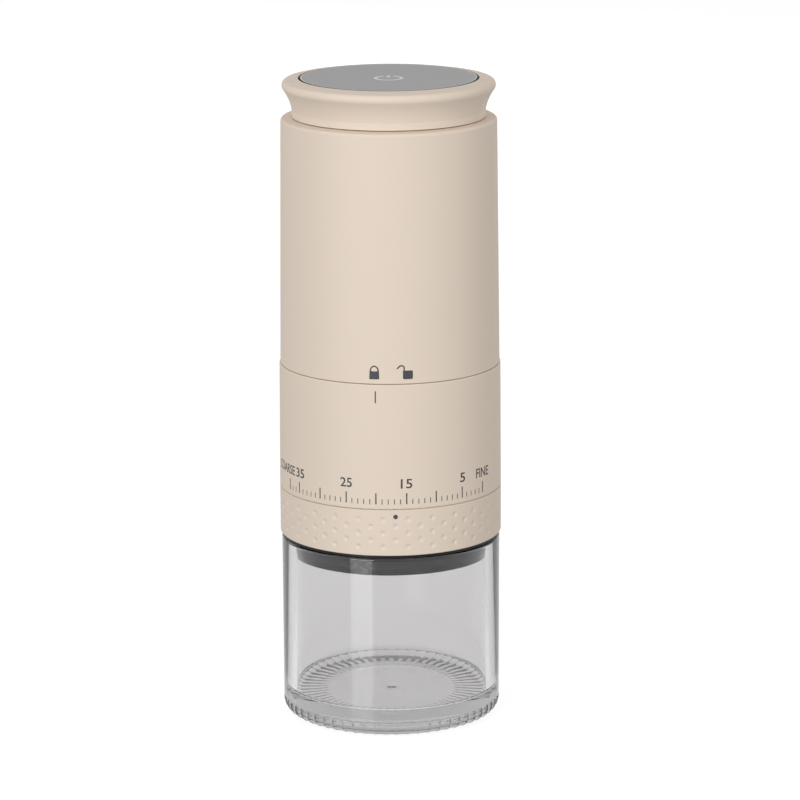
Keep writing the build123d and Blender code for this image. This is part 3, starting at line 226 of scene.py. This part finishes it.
def clear_glass():
    """Thick pressed glass with a faint grey cast and slow waves in its walls."""
    material, tree, shader = new_material("jar_glass")
    waves = noise(tree, 55, detail=2.0, stretch=(1, 1, 0.4))
    tree.links.new(tinted(tree, srgb(224, 223, 223), waves, 0.01), shader.inputs["Base Color"])
    tree.links.new(spread(tree, waves, 0.3, 0.7, 0.0, 0.02), shader.inputs["Roughness"])
    bump = add_node(tree, "ShaderNodeBump", Strength=0.3, Distance=0.05 * MM)
    tree.links.new(waves, bump.inputs["Height"])
    tree.links.new(bump.outputs["Normal"], shader.inputs["Normal"])
    shader.inputs["Transmission Weight"].default_value = 1.0
    shader.inputs["IOR"].default_value = 1.5
    cast = add_node(tree, "ShaderNodeVolumeAbsorption", Color=(0, 0, 0, 1), Density=9)
    tree.links.new(cast.outputs["Volume"], tree.nodes["Material Output"].inputs["Volume"])
    return material


polished_edge = metal(
    "polished_edge", srgb(236, 236, 235), 0.16, mottle=0.03, grain_scale=5000, grain=0.002
)
print_ink = moulded("print_ink", srgb(66, 68, 72), 0.6, mottle=0.05, mottle_scale=900, grain=0.004)
materials = {
    "beige_shell": soft_touch(),
    "black_plastic": satin_black(),
    "hopper_plastic": moulded("hopper_plastic", srgb(60, 60, 62), 0.45, mottle=0.05, grain=0.01),
    "jar_glass": clear_glass(),
    "seal_rubber": moulded("seal_rubber", srgb(50, 50, 52), 0.7, mottle=0.08, grain=0.02),
    "burr_steel": metal("burr_steel", srgb(200, 200, 200), 0.3, mottle=0.05, grain_scale=5000, grain=0.01),
    "steel": metal("steel", srgb(200, 200, 200), 0.25, mottle=0.04, grain=0.005),
    "spider_alloy": metal(
        "spider_alloy", srgb(180, 180, 182), 0.42, mottle=0.06, grain_scale=1800, grain=0.03
    ),
    "disc_alloy": spun_alloy(),
    "gear_nylon": moulded("gear_nylon", srgb(230, 226, 214), 0.4, mottle=0.03, grain=0.008),
    "brass": metal("brass", srgb(205, 170, 100), 0.28, mottle=0.05, grain=0.005),
    "motor_steel": metal(
        "motor_steel", srgb(190, 190, 190), 0.35, mottle=0.06, stretch=(1, 1, 0.05), grain=0.01
    ),
    "cell_wrap": moulded("cell_wrap", srgb(70, 120, 170), 0.3, mottle=0.04, mottle_scale=200, grain=0.01),
    "circuit_board": moulded(
        "circuit_board", srgb(30, 90, 60), 0.4, mottle=0.12, mottle_scale=400, grain=0.02
    ),
    "light_diffuser": moulded("light_diffuser", srgb(216, 216, 214), 0.4, mottle=0.02, mottle_scale=500),
}
for part in frame["record"]["subparts"]:
    mesh = frame["nodes"][part["node"]].data
    mesh.materials.clear()
    mesh.materials.append(materials[part["material_slot"]])


# Shapes. Points nearer than MERGE are one point, and a wall's own points are within NEAR of it
MERGE = 0.0001
NEAR = 0.01


def finished(name, shape, material, body, smooth=True):
    """A piece made of the shape, given in millimetres, that rides on a body."""
    bmesh.ops.recalc_face_normals(shape, faces=shape.faces)
    mesh = bpy.data.meshes.new(name)
    shape.to_mesh(mesh)
    shape.free()
    mesh.transform(Matrix.Scale(MM, 4))
    mesh.materials.append(material)
    mesh.polygons.foreach_set("use_smooth", [smooth] * len(mesh.polygons))
    piece = bpy.data.objects.new(name, mesh)
    bpy.context.collection.objects.link(piece)
    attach(piece, body)
    return piece


def round_place(angle, r, z):
    return (r * sin(radians(angle)), -r * cos(radians(angle)), z)


def full_circle(count):
    """Angles in degrees, all the way round."""
    return [360 * step / count for step in range(count)]


def full_turn(count):
    """Turns in radians, all the way round."""
    return [2 * pi * step / count for step in range(count)]


def rounded(corners, steps=6):
    """An outline of (r, z) points through corners, each (r, z) or (r, z, round)."""
    line = []
    for count, (r, z, *fillet) in enumerate(corners):
        if not fillet:
            line.append((r, z))
            continue
        corner = Vector((r, z))
        back = (Vector(corners[count - 1][:2]) - corner).normalized()
        ahead = (Vector(corners[(count + 1) % len(corners)][:2]) - corner).normalized()
        half = back.angle(ahead) / 2
        centre = corner + (back + ahead).normalized() * fillet[0] / sin(half)
        start = corner + back * fillet[0] / tan(half) - centre
        turn = start.angle_signed(corner + ahead * fillet[0] / tan(half) - centre)
        for step in range(steps + 1):
            line.append(tuple(centre + Matrix.Rotation(-turn * step / steps, 2) @ start))
    return line


def divided(line, longest, where):
    """The closed outline with points added, so that no side is longer than longest where it says."""
    full = []
    for (r0, z0), (r1, z1) in zip(line, line[1:] + line[:1]):
        parts = ceil(hypot(r1 - r0, z1 - z0) / longest) if where(r0, z0) and where(r1, z1) else 1
        full += [(r0 + (r1 - r0) * part / parts, z0 + (z1 - z0) * part / parts) for part in range(parts)]
    return full


def turned(outline, angles, place=None):
    """A closed ring of the outline's points at each angle. place(angle, r, z) may move a point."""
    shape = bmesh.new()
    place = place or (lambda angle, r, z: (r, z))
    columns = [
        [shape.verts.new(round_place(angle, *place(angle, r, z))) for r, z in outline] for angle in angles
    ]
    for left, right in zip(columns, columns[1:] + columns[:1]):
        for row in range(len(outline)):
            if outline[row - 1][0] > 0 or outline[row][0] > 0:
                shape.faces.new((left[row - 1], right[row - 1], right[row], left[row]))
    return shape


# Print: shapes drawn flat, with u along the wall and v up it, then wrapped round the wall. BOLDER is a share
# of the letters' height
PRINT_TOP = 0.015
PRINT_DEPTH = 0.1
PRINT_STEP = 0.8
BOLDER = 0.012


def filled(curve):
    """The filled faces of a flat curve or text."""
    drawn = bpy.data.objects.new("drawn", curve)
    bpy.context.collection.objects.link(drawn)
    bpy.context.view_layer.update()
    mesh = bpy.data.meshes.new_from_object(drawn.evaluated_get(bpy.context.evaluated_depsgraph_get()))
    bpy.data.objects.remove(drawn)
    return mesh


def area(*outlines):
    """The faces inside the first outline and outside the others."""
    curve = bpy.data.curves.new("area", "CURVE")
    curve.dimensions = "2D"
    curve.fill_mode = "BOTH"
    for outline in outlines:
        spline = curve.splines.new("POLY")
        spline.points.add(len(outline) - 1)
        for point, (u, v) in zip(spline.points, outline):
            point.co = (u, v, 0, 1)
        spline.use_cyclic_u = True
    return filled(curve)


def bar(u, v0, v1, width):
    half = width / 2
    return area([(u - half, v0), (u + half, v0), (u + half, v1), (u - half, v1)])


def words(text, left, right, low, high):
    """Text in the built-in font, fitted into a box."""
    curve = bpy.data.curves.new("words", "FONT")
    curve.body = text
    curve.resolution_u = 4
    curve.offset = BOLDER
    mesh = filled(curve)
    us, vs = ([corner.co[axis] for corner in mesh.vertices] for axis in (0, 1))
    fit_u = (right - left) / (max(us) - min(us))
    fit_v = (high - low) / (max(vs) - min(vs))
    move = Matrix.Translation((left - min(us) * fit_u, low - min(vs) * fit_v, 0))
    mesh.transform(move @ Matrix.Diagonal((fit_u, fit_v, 1, 1)))
    return mesh


def stroke(points, width, steps=8):
    """A line of one width along a smooth curve that the points lead."""
    curve = bpy.data.curves.new("stroke", "CURVE")
    curve.dimensions = "2D"
    spline = curve.splines.new("NURBS")
    spline.points.add(len(points) - 1)
    for point, (u, v) in zip(spline.points, points):
        point.co = (u, v, 0, 1)
    spline.order_u = 3
    spline.use_endpoint_u = True
    spline.resolution_u = steps
    line = [corner.co.xy for corner in filled(curve).vertices]
    left, right = [], []
    for count, point in enumerate(line):
        along = (line[min(count + 1, len(line) - 1)] - line[max(count - 1, 0)]).normalized()
        side = Vector((-along.y, along.x)) * width / 2
        left.append(tuple(point + side))
        right.append(tuple(point - side))
    return area(left + right[::-1])


def thicken(film):
    """Gives a flat film its thickness, upward from its back."""
    grown = bmesh.ops.extrude_face_region(film, geom=list(film.faces), use_keep_orig=True)["geom"]
    for corner in grown:
        if isinstance(corner, bmesh.types.BMVert):
            corner.co.z = PRINT_TOP + PRINT_DEPTH


def printed(name, shapes, wall, body):
    """Flat shapes wrapped round a wall as a thin film whose edges reach into it."""
    film = bmesh.new()
    for shape in shapes:
        film.from_mesh(shape)
    us = [corner.co.x for corner in film.verts]
    for count in range(ceil(min(us) / PRINT_STEP), floor(max(us) / PRINT_STEP) + 1):
        everything = [*film.verts, *film.edges, *film.faces]
        bmesh.ops.bisect_plane(film, geom=everything, plane_co=(count * PRINT_STEP, 0, 0), plane_no=(1, 0, 0))
    thicken(film)
    widest = wall(0)
    for corner in film.verts:
        u, v, rise = corner.co
        corner.co = round_place(u / widest * 180 / pi, wall(v) - PRINT_DEPTH + rise, v)
    finished(name, film, print_ink, body, smooth=False)


# The scale round the lower housing
HOUSING_TAPER = 0.2
FINE_ANGLE = 55.25
CLICK_TURN = 3.13
CLICKS = 38
TICK_FOOT = 75.8
MINOR_TOP = 77.4
MAJOR_TOP = 79.3
MINOR_WIDTH = 0.26
MAJOR_WIDTH = 0.40
MAJOR_EVERY = 5
NUMBER_LOW = 80.8
NUMBER_HIGH = 83.8
LABELS = {"COARSE": (-79.6, -58.6), "35": (-57.0, -50.2), "25": (-26.2, -19.9), "15": (5.3, 11.2)}
LABELS |= {"5": (38.3, 41.6), "FINE": (49.8, 60.8)}
INDEX_ANGLE = -7.4
INDEX_LINE = (107.9, 111.6)
INDEX_WIDTH = 0.38


def scale_print():
    wall = tapered("grinder_housing", HOUSING_TAPER)
    arc = radians(wall(0))
    shapes = []
    for click in range(CLICKS + 1):
        major = click % MAJOR_EVERY == 0 or click == CLICKS
        height, width = (MAJOR_TOP, MAJOR_WIDTH) if major else (MINOR_TOP, MINOR_WIDTH)
        shapes.append(bar((FINE_ANGLE - CLICK_TURN * click) * arc, TICK_FOOT, height, width))
    for text, (left, right) in LABELS.items():
        shapes.append(words(text, left * arc, right * arc, NUMBER_LOW, NUMBER_HIGH))
    printed("scale_print", shapes, wall, "grinder_body")
    printed("index_line", [bar(INDEX_ANGLE * arc, *INDEX_LINE, INDEX_WIDTH)], wall, "grinder_body")


# The closed and open padlocks on the upper housing. The open one's shackle is led by points from its foot
CASE_TAPER = 0.8
CLOSED_ANGLE = -7.95
OPEN_ANGLE = 9.3
LOCK_FOOT = 115.3
LOCK_HALF = 1.6
FOOT_HALF = 1.5
FOOT_CORNER = 0.15
ARCH_TOP = 4.3
ARCH_FOOT = 2.3
ARCH_HALF = 1.53
HOLE_HALF = 1.05
HOLE_FOOT = 2.46
HOLE_SIDE = 0.3
HOLE_LOWER = 0.72
BLOCK = (3.2, 2.7)
BLOCK_ROUND = 0.35
SHACKLE = [(-1.3, 2.0), (-1.28, 2.9), (-1.12, 3.7), (-1.75, 4.3), (-2.55, 4.2), (-3.0, 3.75), (-3.5, 3.25)]
SHACKLE_WIDTH = 0.42


def arch(u, v, half, height, steps=16):
    """Points over a half ellipse, from its right foot to its left."""
    turns = [pi * step / steps for step in range(steps + 1)]
    return [(u + half * cos(turn), v + height * sin(turn)) for turn in turns]


def soft_box(u, v, wide, high, corner, steps=4):
    """A rectangle with rounded corners, by its middle and sides."""
    line = []
    for count, (right, up) in enumerate(((1, 1), (-1, 1), (-1, -1), (1, -1))):
        for step in range(steps + 1):
            turn = pi / 2 * (count + step / steps)
            line.append((
                u + right * (wide / 2 - corner) + corner * cos(turn),
                v + up * (high / 2 - corner) + corner * sin(turn),
            ))
    return line


def lock_icons():
    wall = tapered("upper_housing", CASE_TAPER)
    arc = radians(wall(0))
    u = CLOSED_ANGLE * arc
    v = LOCK_FOOT
    outside = [(u - FOOT_HALF, v), (u - LOCK_HALF, v + FOOT_CORNER), (u - ARCH_HALF, v + ARCH_FOOT)]
    outside += arch(u, v + ARCH_FOOT, ARCH_HALF, ARCH_TOP - ARCH_FOOT)[::-1][1:-1]
    outside += [(u + ARCH_HALF, v + ARCH_FOOT), (u + LOCK_HALF, v + FOOT_CORNER), (u + FOOT_HALF, v)]
    inside = arch(u, v + ARCH_FOOT + HOLE_SIDE, HOLE_HALF, ARCH_TOP - ARCH_FOOT - HOLE_LOWER)
    inside.append((u, v + HOLE_FOOT))
    closed = area(outside, inside)
    u = OPEN_ANGLE * arc
    block = area(soft_box(u, v + BLOCK[1] / 2, *BLOCK, BLOCK_ROUND))
    hook = stroke([(u + across, v + up) for across, up in SHACKLE], SHACKLE_WIDTH)
    printed("lock_icons", [closed, block, hook], wall, "motor_unit")


# The adjusting ring: columns of shallow dimples round its grip, of two and three by turns, the index dot,
# a groove at its top seam and a lip that reaches down round the collar
DIMPLE_COLUMNS = 56
COLUMN_CELLS = 16
DIMPLE_TWO = (64.3, 68.7)
DIMPLE_THREE = (62.1, 66.5, 70.9)
DIMPLE_R = 1.05
DIMPLE_DEPTH = 0.36
RING_GAP = 0.01
RING_SEAM = 0.2
SEAM_DEPTH = 1
SEAM_ROUND = 0.15
RING_LIP = 0.25
LIP_ROOM = 0.1
LIP_ROUND = 0.2
DIMPLE_STEP = 0.25
DOT_ANGLE = 2.6
DOT_Z = 71.8
DOT_R = 0.73
DOT_SIDES = 32


def dimpled(wall_r):
    """Moves a point of the ring's outside into the nearest dimple."""
    pitch = 360 / DIMPLE_COLUMNS

    def place(angle, r, z):
        if r < wall_r - NEAR:
            return r, z
        column = round((angle - DOT_ANGLE) / pitch)
        across = radians(angle - DOT_ANGLE - column * pitch) * wall_r
        rows = DIMPLE_THREE if column % 2 else DIMPLE_TWO
        reach = min(hypot(across, z - row) for row in rows) / DIMPLE_R
        dip = DIMPLE_DEPTH * (1 - reach * reach) ** 2 if reach < 1 else 0
        return r - dip, z

    return place


def ring_grip():
    ring_r, bore_r = radius("grinder_housing") - RING_GAP, bore("adjust_ring")
    low, high = foot("adjust_ring"), top("adjust_ring")
    lip_r, seam_r = radius("jar_collar") + LIP_ROOM, ring_r - SEAM_DEPTH
    corners = [(bore_r, low), (lip_r, low), (lip_r, low - RING_LIP), (ring_r, low - RING_LIP, LIP_ROUND)]
    corners += [(ring_r, high - RING_SEAM, SEAM_ROUND), (seam_r, high - RING_SEAM)]
    corners += [(seam_r, high), (bore_r, high)]
    outline = divided(rounded(corners, steps=4), DIMPLE_STEP, lambda r, z: r > ring_r - NEAR)
    shape = turned(outline, full_circle(DIMPLE_COLUMNS * COLUMN_CELLS), dimpled(ring_r))
    ring = finished("ring_grip", shape, materials["beige_shell"], "adjust_ring")
    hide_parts("adjust_ring")
    arc = radians(ring_r)
    dot = [(DOT_ANGLE * arc + DOT_R * cos(turn), DOT_Z + DOT_R * sin(turn)) for turn in full_turn(DOT_SIDES)]
    printed("ring_dot", [area(dot)], lambda z: ring_r, "adjust_ring")


# The button's disc: satin metal with a polished edge, over a side wall in black plastic that is painted shade
# of the gap round the disc
DISC_R = 27.4
DISC_EDGE = 0.3
DISC_EDGE_DEPTH = 0.01
DISC_RINGS = 12
DISC_SIDES = 180


def disc_top():
    low, high = foot("button_disc"), top("button_disc")
    flat_r, edge_z = DISC_R - DISC_EDGE, high - DISC_EDGE_DEPTH
    outline = [(0, low), (DISC_R, low), (DISC_R, edge_z)]
    outline += [(flat_r * ring / DISC_RINGS, high) for ring in range(DISC_RINGS, -1, -1)]
    shape = turned(outline, full_circle(DISC_SIDES))
    bmesh.ops.remove_doubles(shape, verts=shape.verts, dist=MERGE)
    disc = finished("disc_top", shape, materials["disc_alloy"], "power_button", smooth=False)
    looks = disc.data.materials
    looks.append(polished_edge)
    looks.append(materials["black_plastic"])
    edge, painted_gap_shade = 1, 2
    for face in disc.data.polygons:
        # The side wall below the polished edge gets black plastic: painted shade of the gap between the disc
        # and the cap
        if face.center.xy.length > flat_r * MM:
            face.material_index = edge if face.center.z > edge_z * MM else painted_gap_shade
    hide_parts("button_disc")


# The power sign on the button: a ring open at the back, with a tick in the gap
SIGN_R = 4.1
SIGN_LINE = 1.1
SIGN_Y = -1.9
SIGN_GAP = 19
SIGN_TICK = (1.5, 5.0)
SIGN_STEPS = 48


def power_sign():
    first, last = radians(90 + SIGN_GAP), radians(450 - SIGN_GAP)
    turns = [first + (last - first) * step / SIGN_STEPS for step in range(SIGN_STEPS + 1)]
    outer_r, inner_r = SIGN_R + SIGN_LINE / 2, SIGN_R - SIGN_LINE / 2
    outer = [(outer_r * cos(turn), outer_r * sin(turn)) for turn in turns]
    inner = [(inner_r * cos(turn), inner_r * sin(turn)) for turn in turns]
    film = bmesh.new()
    film.from_mesh(area(outer + inner[::-1]))
    film.from_mesh(bar(0, *SIGN_TICK, SIGN_LINE))
    thicken(film)
    bmesh.ops.translate(film, verts=film.verts, vec=(0, SIGN_Y, top("button_disc") - PRINT_DEPTH))
    finished("power_sign", film, materials["light_diffuser"], "power_button", smooth=False)


# The spring under the button: a coil of steel wire
WIRE_R = 0.2
WIRE_SIDES = 10
COIL_TURNS = 2.5
TURN_STEPS = 40


def button_coil():
    low, high = foot("button_spring"), top("button_spring")
    coil_r = radius("button_spring") - 2 * WIRE_R
    steps = round(COIL_TURNS * TURN_STEPS)
    shape = bmesh.new()
    rings = []
    for step in range(steps + 1):
        angle = 360 * COIL_TURNS * step / steps
        z = low + WIRE_R + (high - low - 2 * WIRE_R) * step / steps
        section = [(coil_r + WIRE_R * cos(turn), z + WIRE_R * sin(turn)) for turn in full_turn(WIRE_SIDES)]
        rings.append([shape.verts.new(round_place(angle, *point)) for point in section])
    for first, second in zip(rings, rings[1:]):
        for side in range(WIRE_SIDES):
            shape.faces.new((first[side - 1], first[side], second[side], second[side - 1]))
    shape.faces.new(rings[0])
    shape.faces.new(rings[-1])
    coil = finished("button_coil", shape, materials["steel"], "motor_unit")
    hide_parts("button_spring")
    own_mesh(coil)


# The pressed glass jar: flutes round its heel, rays under its base, and a recess there with a nub
FLUTES = 60
JAR_HEEL_R = 3.8
JAR_TAPER = 0.15
RIM_ROUND = 0.9
BORE_ROUND = 1.5
JAR_FLOOR = 8.0
RECESS = 0.8
RECESS_STEP = 12.9
RECESS_IN = 1
RECESS_SLOPE = 3.0
RECESS_ROUND = 3
FLUTE_TOP = 5.0
FLUTE_ARCH = 0.3
FLUTE_END = 0.45
FLUTE_DEPTH = 0.4
FOOT_PART = 0.5
RIDGE_PART = 0.16
RAY_START = 2
RAY_END = 3
NUB_R = 2.6
NUB_DEPTH = 0.14
NUB_RINGS = 5
HEEL_STEP = 0.6
ARCH_STEP = 0.09
FLUTE_STEPS = (-1, -0.96, -0.92, -0.87, -0.8, -0.65, -0.35, 0, 0.35, 0.65, 0.8, 0.87, 0.92, 0.96)


def smooth_step(low, high, value):
    part = min(max((value - low) / (high - low), 0), 1)
    return part * part * (3 - 2 * part)


def pressed(foot_r, ray_in):
    """Moves a point of the jar's outside in, in the flutes of its heel, and up, between the rays below."""
    half = 180 / FLUTES
    ray_out = foot_r - JAR_HEEL_R

    def place(angle, r, z):
        across = abs((angle / half + 1) % 2 - 1)
        hollow = FLUTE_DEPTH * (1 - across ** 2) ** 0.5 * (1 - smooth_step(1 - RIDGE_PART, 1, across))
        if r > ray_out + NEAR and z < FLUTE_TOP + 1:
            arch_z = FLUTE_TOP - FLUTE_ARCH * across ** 2
            end = min(max((z - arch_z) / FLUTE_END + 1, 0), 1)
            dip = hollow * (1 - end * end) ** 0.5
            up = 1 - min(z / JAR_HEEL_R, 1)
            return r - dip * (1 - up * up), z + dip * up * FOOT_PART
        if ray_in < r <= ray_out + NEAR and z < RECESS + 0.1:
            fade_in = smooth_step(ray_in, ray_in + RAY_START, r)
            fade_out = 1 - (1 - FOOT_PART) * smooth_step(ray_out - RAY_END, ray_out, r)
            return r, z + hollow * (fade_in * fade_out)
        return r, z

    return place


def glass_jar():
    rim_r, high, bore_r = radius("jar"), top("jar"), rim_bore("jar")
    foot_r = rim_r - JAR_TAPER
    recess_r = foot_r - RECESS_STEP
    ray_in = recess_r - RECESS_IN
    corners = [(0, JAR_FLOOR)]
    for ring in range(NUB_RINGS + 1):
        part = ring / NUB_RINGS
        corners.append((NUB_R * ring / NUB_RINGS, RECESS - NUB_DEPTH * (1 - part ** 2) ** 1.5))
    corners += [(ray_in, RECESS, RECESS_ROUND), (recess_r + RECESS_SLOPE, 0, RECESS_ROUND)]
    corners += [(foot_r, 0, JAR_HEEL_R), (foot_r + 0.01, FLUTE_TOP - 1), (foot_r + 0.02, FLUTE_TOP + 0.2)]
    corners += [(rim_r, high, RIM_ROUND), (bore_r, high, RIM_ROUND), (bore_r, JAR_FLOOR, BORE_ROUND)]
    outline = rounded(corners, steps=10)
    outline = divided(outline, HEEL_STEP, lambda r, z: r > recess_r and z <= FLUTE_TOP - 1)
    outline = divided(outline, ARCH_STEP, lambda r, z: r > bore_r and FLUTE_TOP - 1.1 < z <= FLUTE_TOP + 0.3)
    half = 180 / FLUTES
    angles = [half * (2 * flute + step) for flute in range(FLUTES) for step in FLUTE_STEPS]
    shape = turned(outline, angles, pressed(foot_r, ray_in))
    bmesh.ops.remove_doubles(shape, verts=shape.verts, dist=MERGE)
    jar = finished("glass_jar", shape, materials["jar_glass"], "jar")
    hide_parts("jar")


def rim_bore(node):
    """The radius of a vessel's bore in its upper half."""
    middle = (top(node) + foot(node)) / 2
    corners = [corner.co / MM for corner in frame["nodes"][node].data.vertices]
    return min(hypot(corner.x, corner.y) for corner in corners if corner.z > middle)


# The studio. Strengths of the world and the floor: AMBIENT and FLOOR_GLOW light the object, MIRRORED is
# what it mirrors, and FLOOR_SEEN is the floor as seen
LAMP_DISTANCE = 1500
LAMP_AIM = (0, 0, 100)
AMBIENT = 0.52
MIRRORED = 0.62
FLOOR_GLOW = 0.15
FLOOR_SEEN = 0.88


def camera():
    lens = bpy.data.cameras.new("camera")
    lens.lens = CAMERA_LENS
    lens.sensor_width = SENSOR
    lens.clip_end = 100
    eye = bpy.data.objects.new("camera", lens)
    place = Matrix.Translation(Vector(CAMERA_AT) * MM)
    turn = Matrix.Rotation(radians(90 - CAMERA_PITCH), 4, "X") @ Matrix.Rotation(radians(CAMERA_ROLL), 4, "Z")
    eye.matrix_world = place @ turn
    bpy.context.collection.objects.link(eye)
    bpy.context.scene.camera = eye


def soft_lamp(name, angle, height, size, power, mirrored=True):
    """A standing light panel, at an angle round the grinder, that faces it. It isn't seen through glass."""
    lamp = bpy.data.lights.new(name, "AREA")
    lamp.shape = "RECTANGLE"
    lamp.size, lamp.size_y = (side * MM for side in size)
    lamp.energy = power
    panel = bpy.data.objects.new(name, lamp)
    panel.location = Vector(round_place(angle, LAMP_DISTANCE, height)) * MM
    aim = Vector(LAMP_AIM) * MM - panel.location
    panel.rotation_euler = aim.to_track_quat("-Z", "Y").to_euler()
    panel.visible_glossy = mirrored
    panel.visible_transmission = False
    bpy.context.collection.objects.link(panel)


def by_ray(tree, plain, mirrored, seen):
    """One value for plain light, one for what is mirrored, and one for what is seen, also through glass."""
    path = add_node(tree, "ShaderNodeLightPath")
    direct = larger(tree, path.outputs["Is Camera Ray"], path.outputs["Is Transmission Ray"])
    glossy = spread(tree, path.outputs["Is Glossy Ray"], 0, 1, plain, mirrored)
    clear = add_node(tree, "ShaderNodeMix")
    tree.links.new(direct, clear.inputs["Factor"])
    tree.links.new(glossy, clear.inputs["A"])
    clear.inputs["B"].default_value = seen
    return clear.outputs["Result"]


def studio():
    world = bpy.data.worlds.new("world")
    bpy.context.scene.world = world
    world.use_nodes = True
    tree = world.node_tree
    background = tree.nodes["Background"]
    background.inputs["Color"].default_value = (1, 1, 1, 1)
    tree.links.new(by_ray(tree, AMBIENT, MIRRORED, 1.0), background.inputs["Strength"])
    soft_lamp("key_lamp", -31, 600, (640, 1000), 12.6)
    soft_lamp("fill_lamp", 39, 500, (850, 400), 6.2, mirrored=False)
    soft_lamp("edge_lamp", -130, 600, (330, 1000), 1.5)
    soft_lamp("back_lamp", 168, 500, (1100, 500), 6, mirrored=False)

    bpy.ops.mesh.primitive_plane_add(size=20, location=(0, 0, 0))
    table = bpy.context.object
    table.name = "floor"
    material, tree, shader = new_material("floor")
    shader.inputs["Base Color"].default_value = (0.2, 0.2, 0.2, 1)
    shader.inputs["Roughness"].default_value = 0.05
    shader.inputs["Emission Color"].default_value = (1, 1, 1, 1)
    path = add_node(tree, "ShaderNodeLightPath")
    inside = larger(tree, path.outputs["Is Glossy Ray"], path.outputs["Is Transmission Ray"])
    tree.links.new(spread(tree, inside, 0, 1, 0.0, 0.5), shader.inputs["Specular IOR Level"])
    tree.links.new(by_ray(tree, FLOOR_GLOW, MIRRORED, FLOOR_SEEN), shader.inputs["Emission Strength"])
    table.data.materials.append(material)


camera()
scale_print()
lock_icons()
ring_grip()
disc_top()
power_sign()
button_coil()
glass_jar()
studio()
bpy.context.scene.view_settings.view_transform = "Standard"
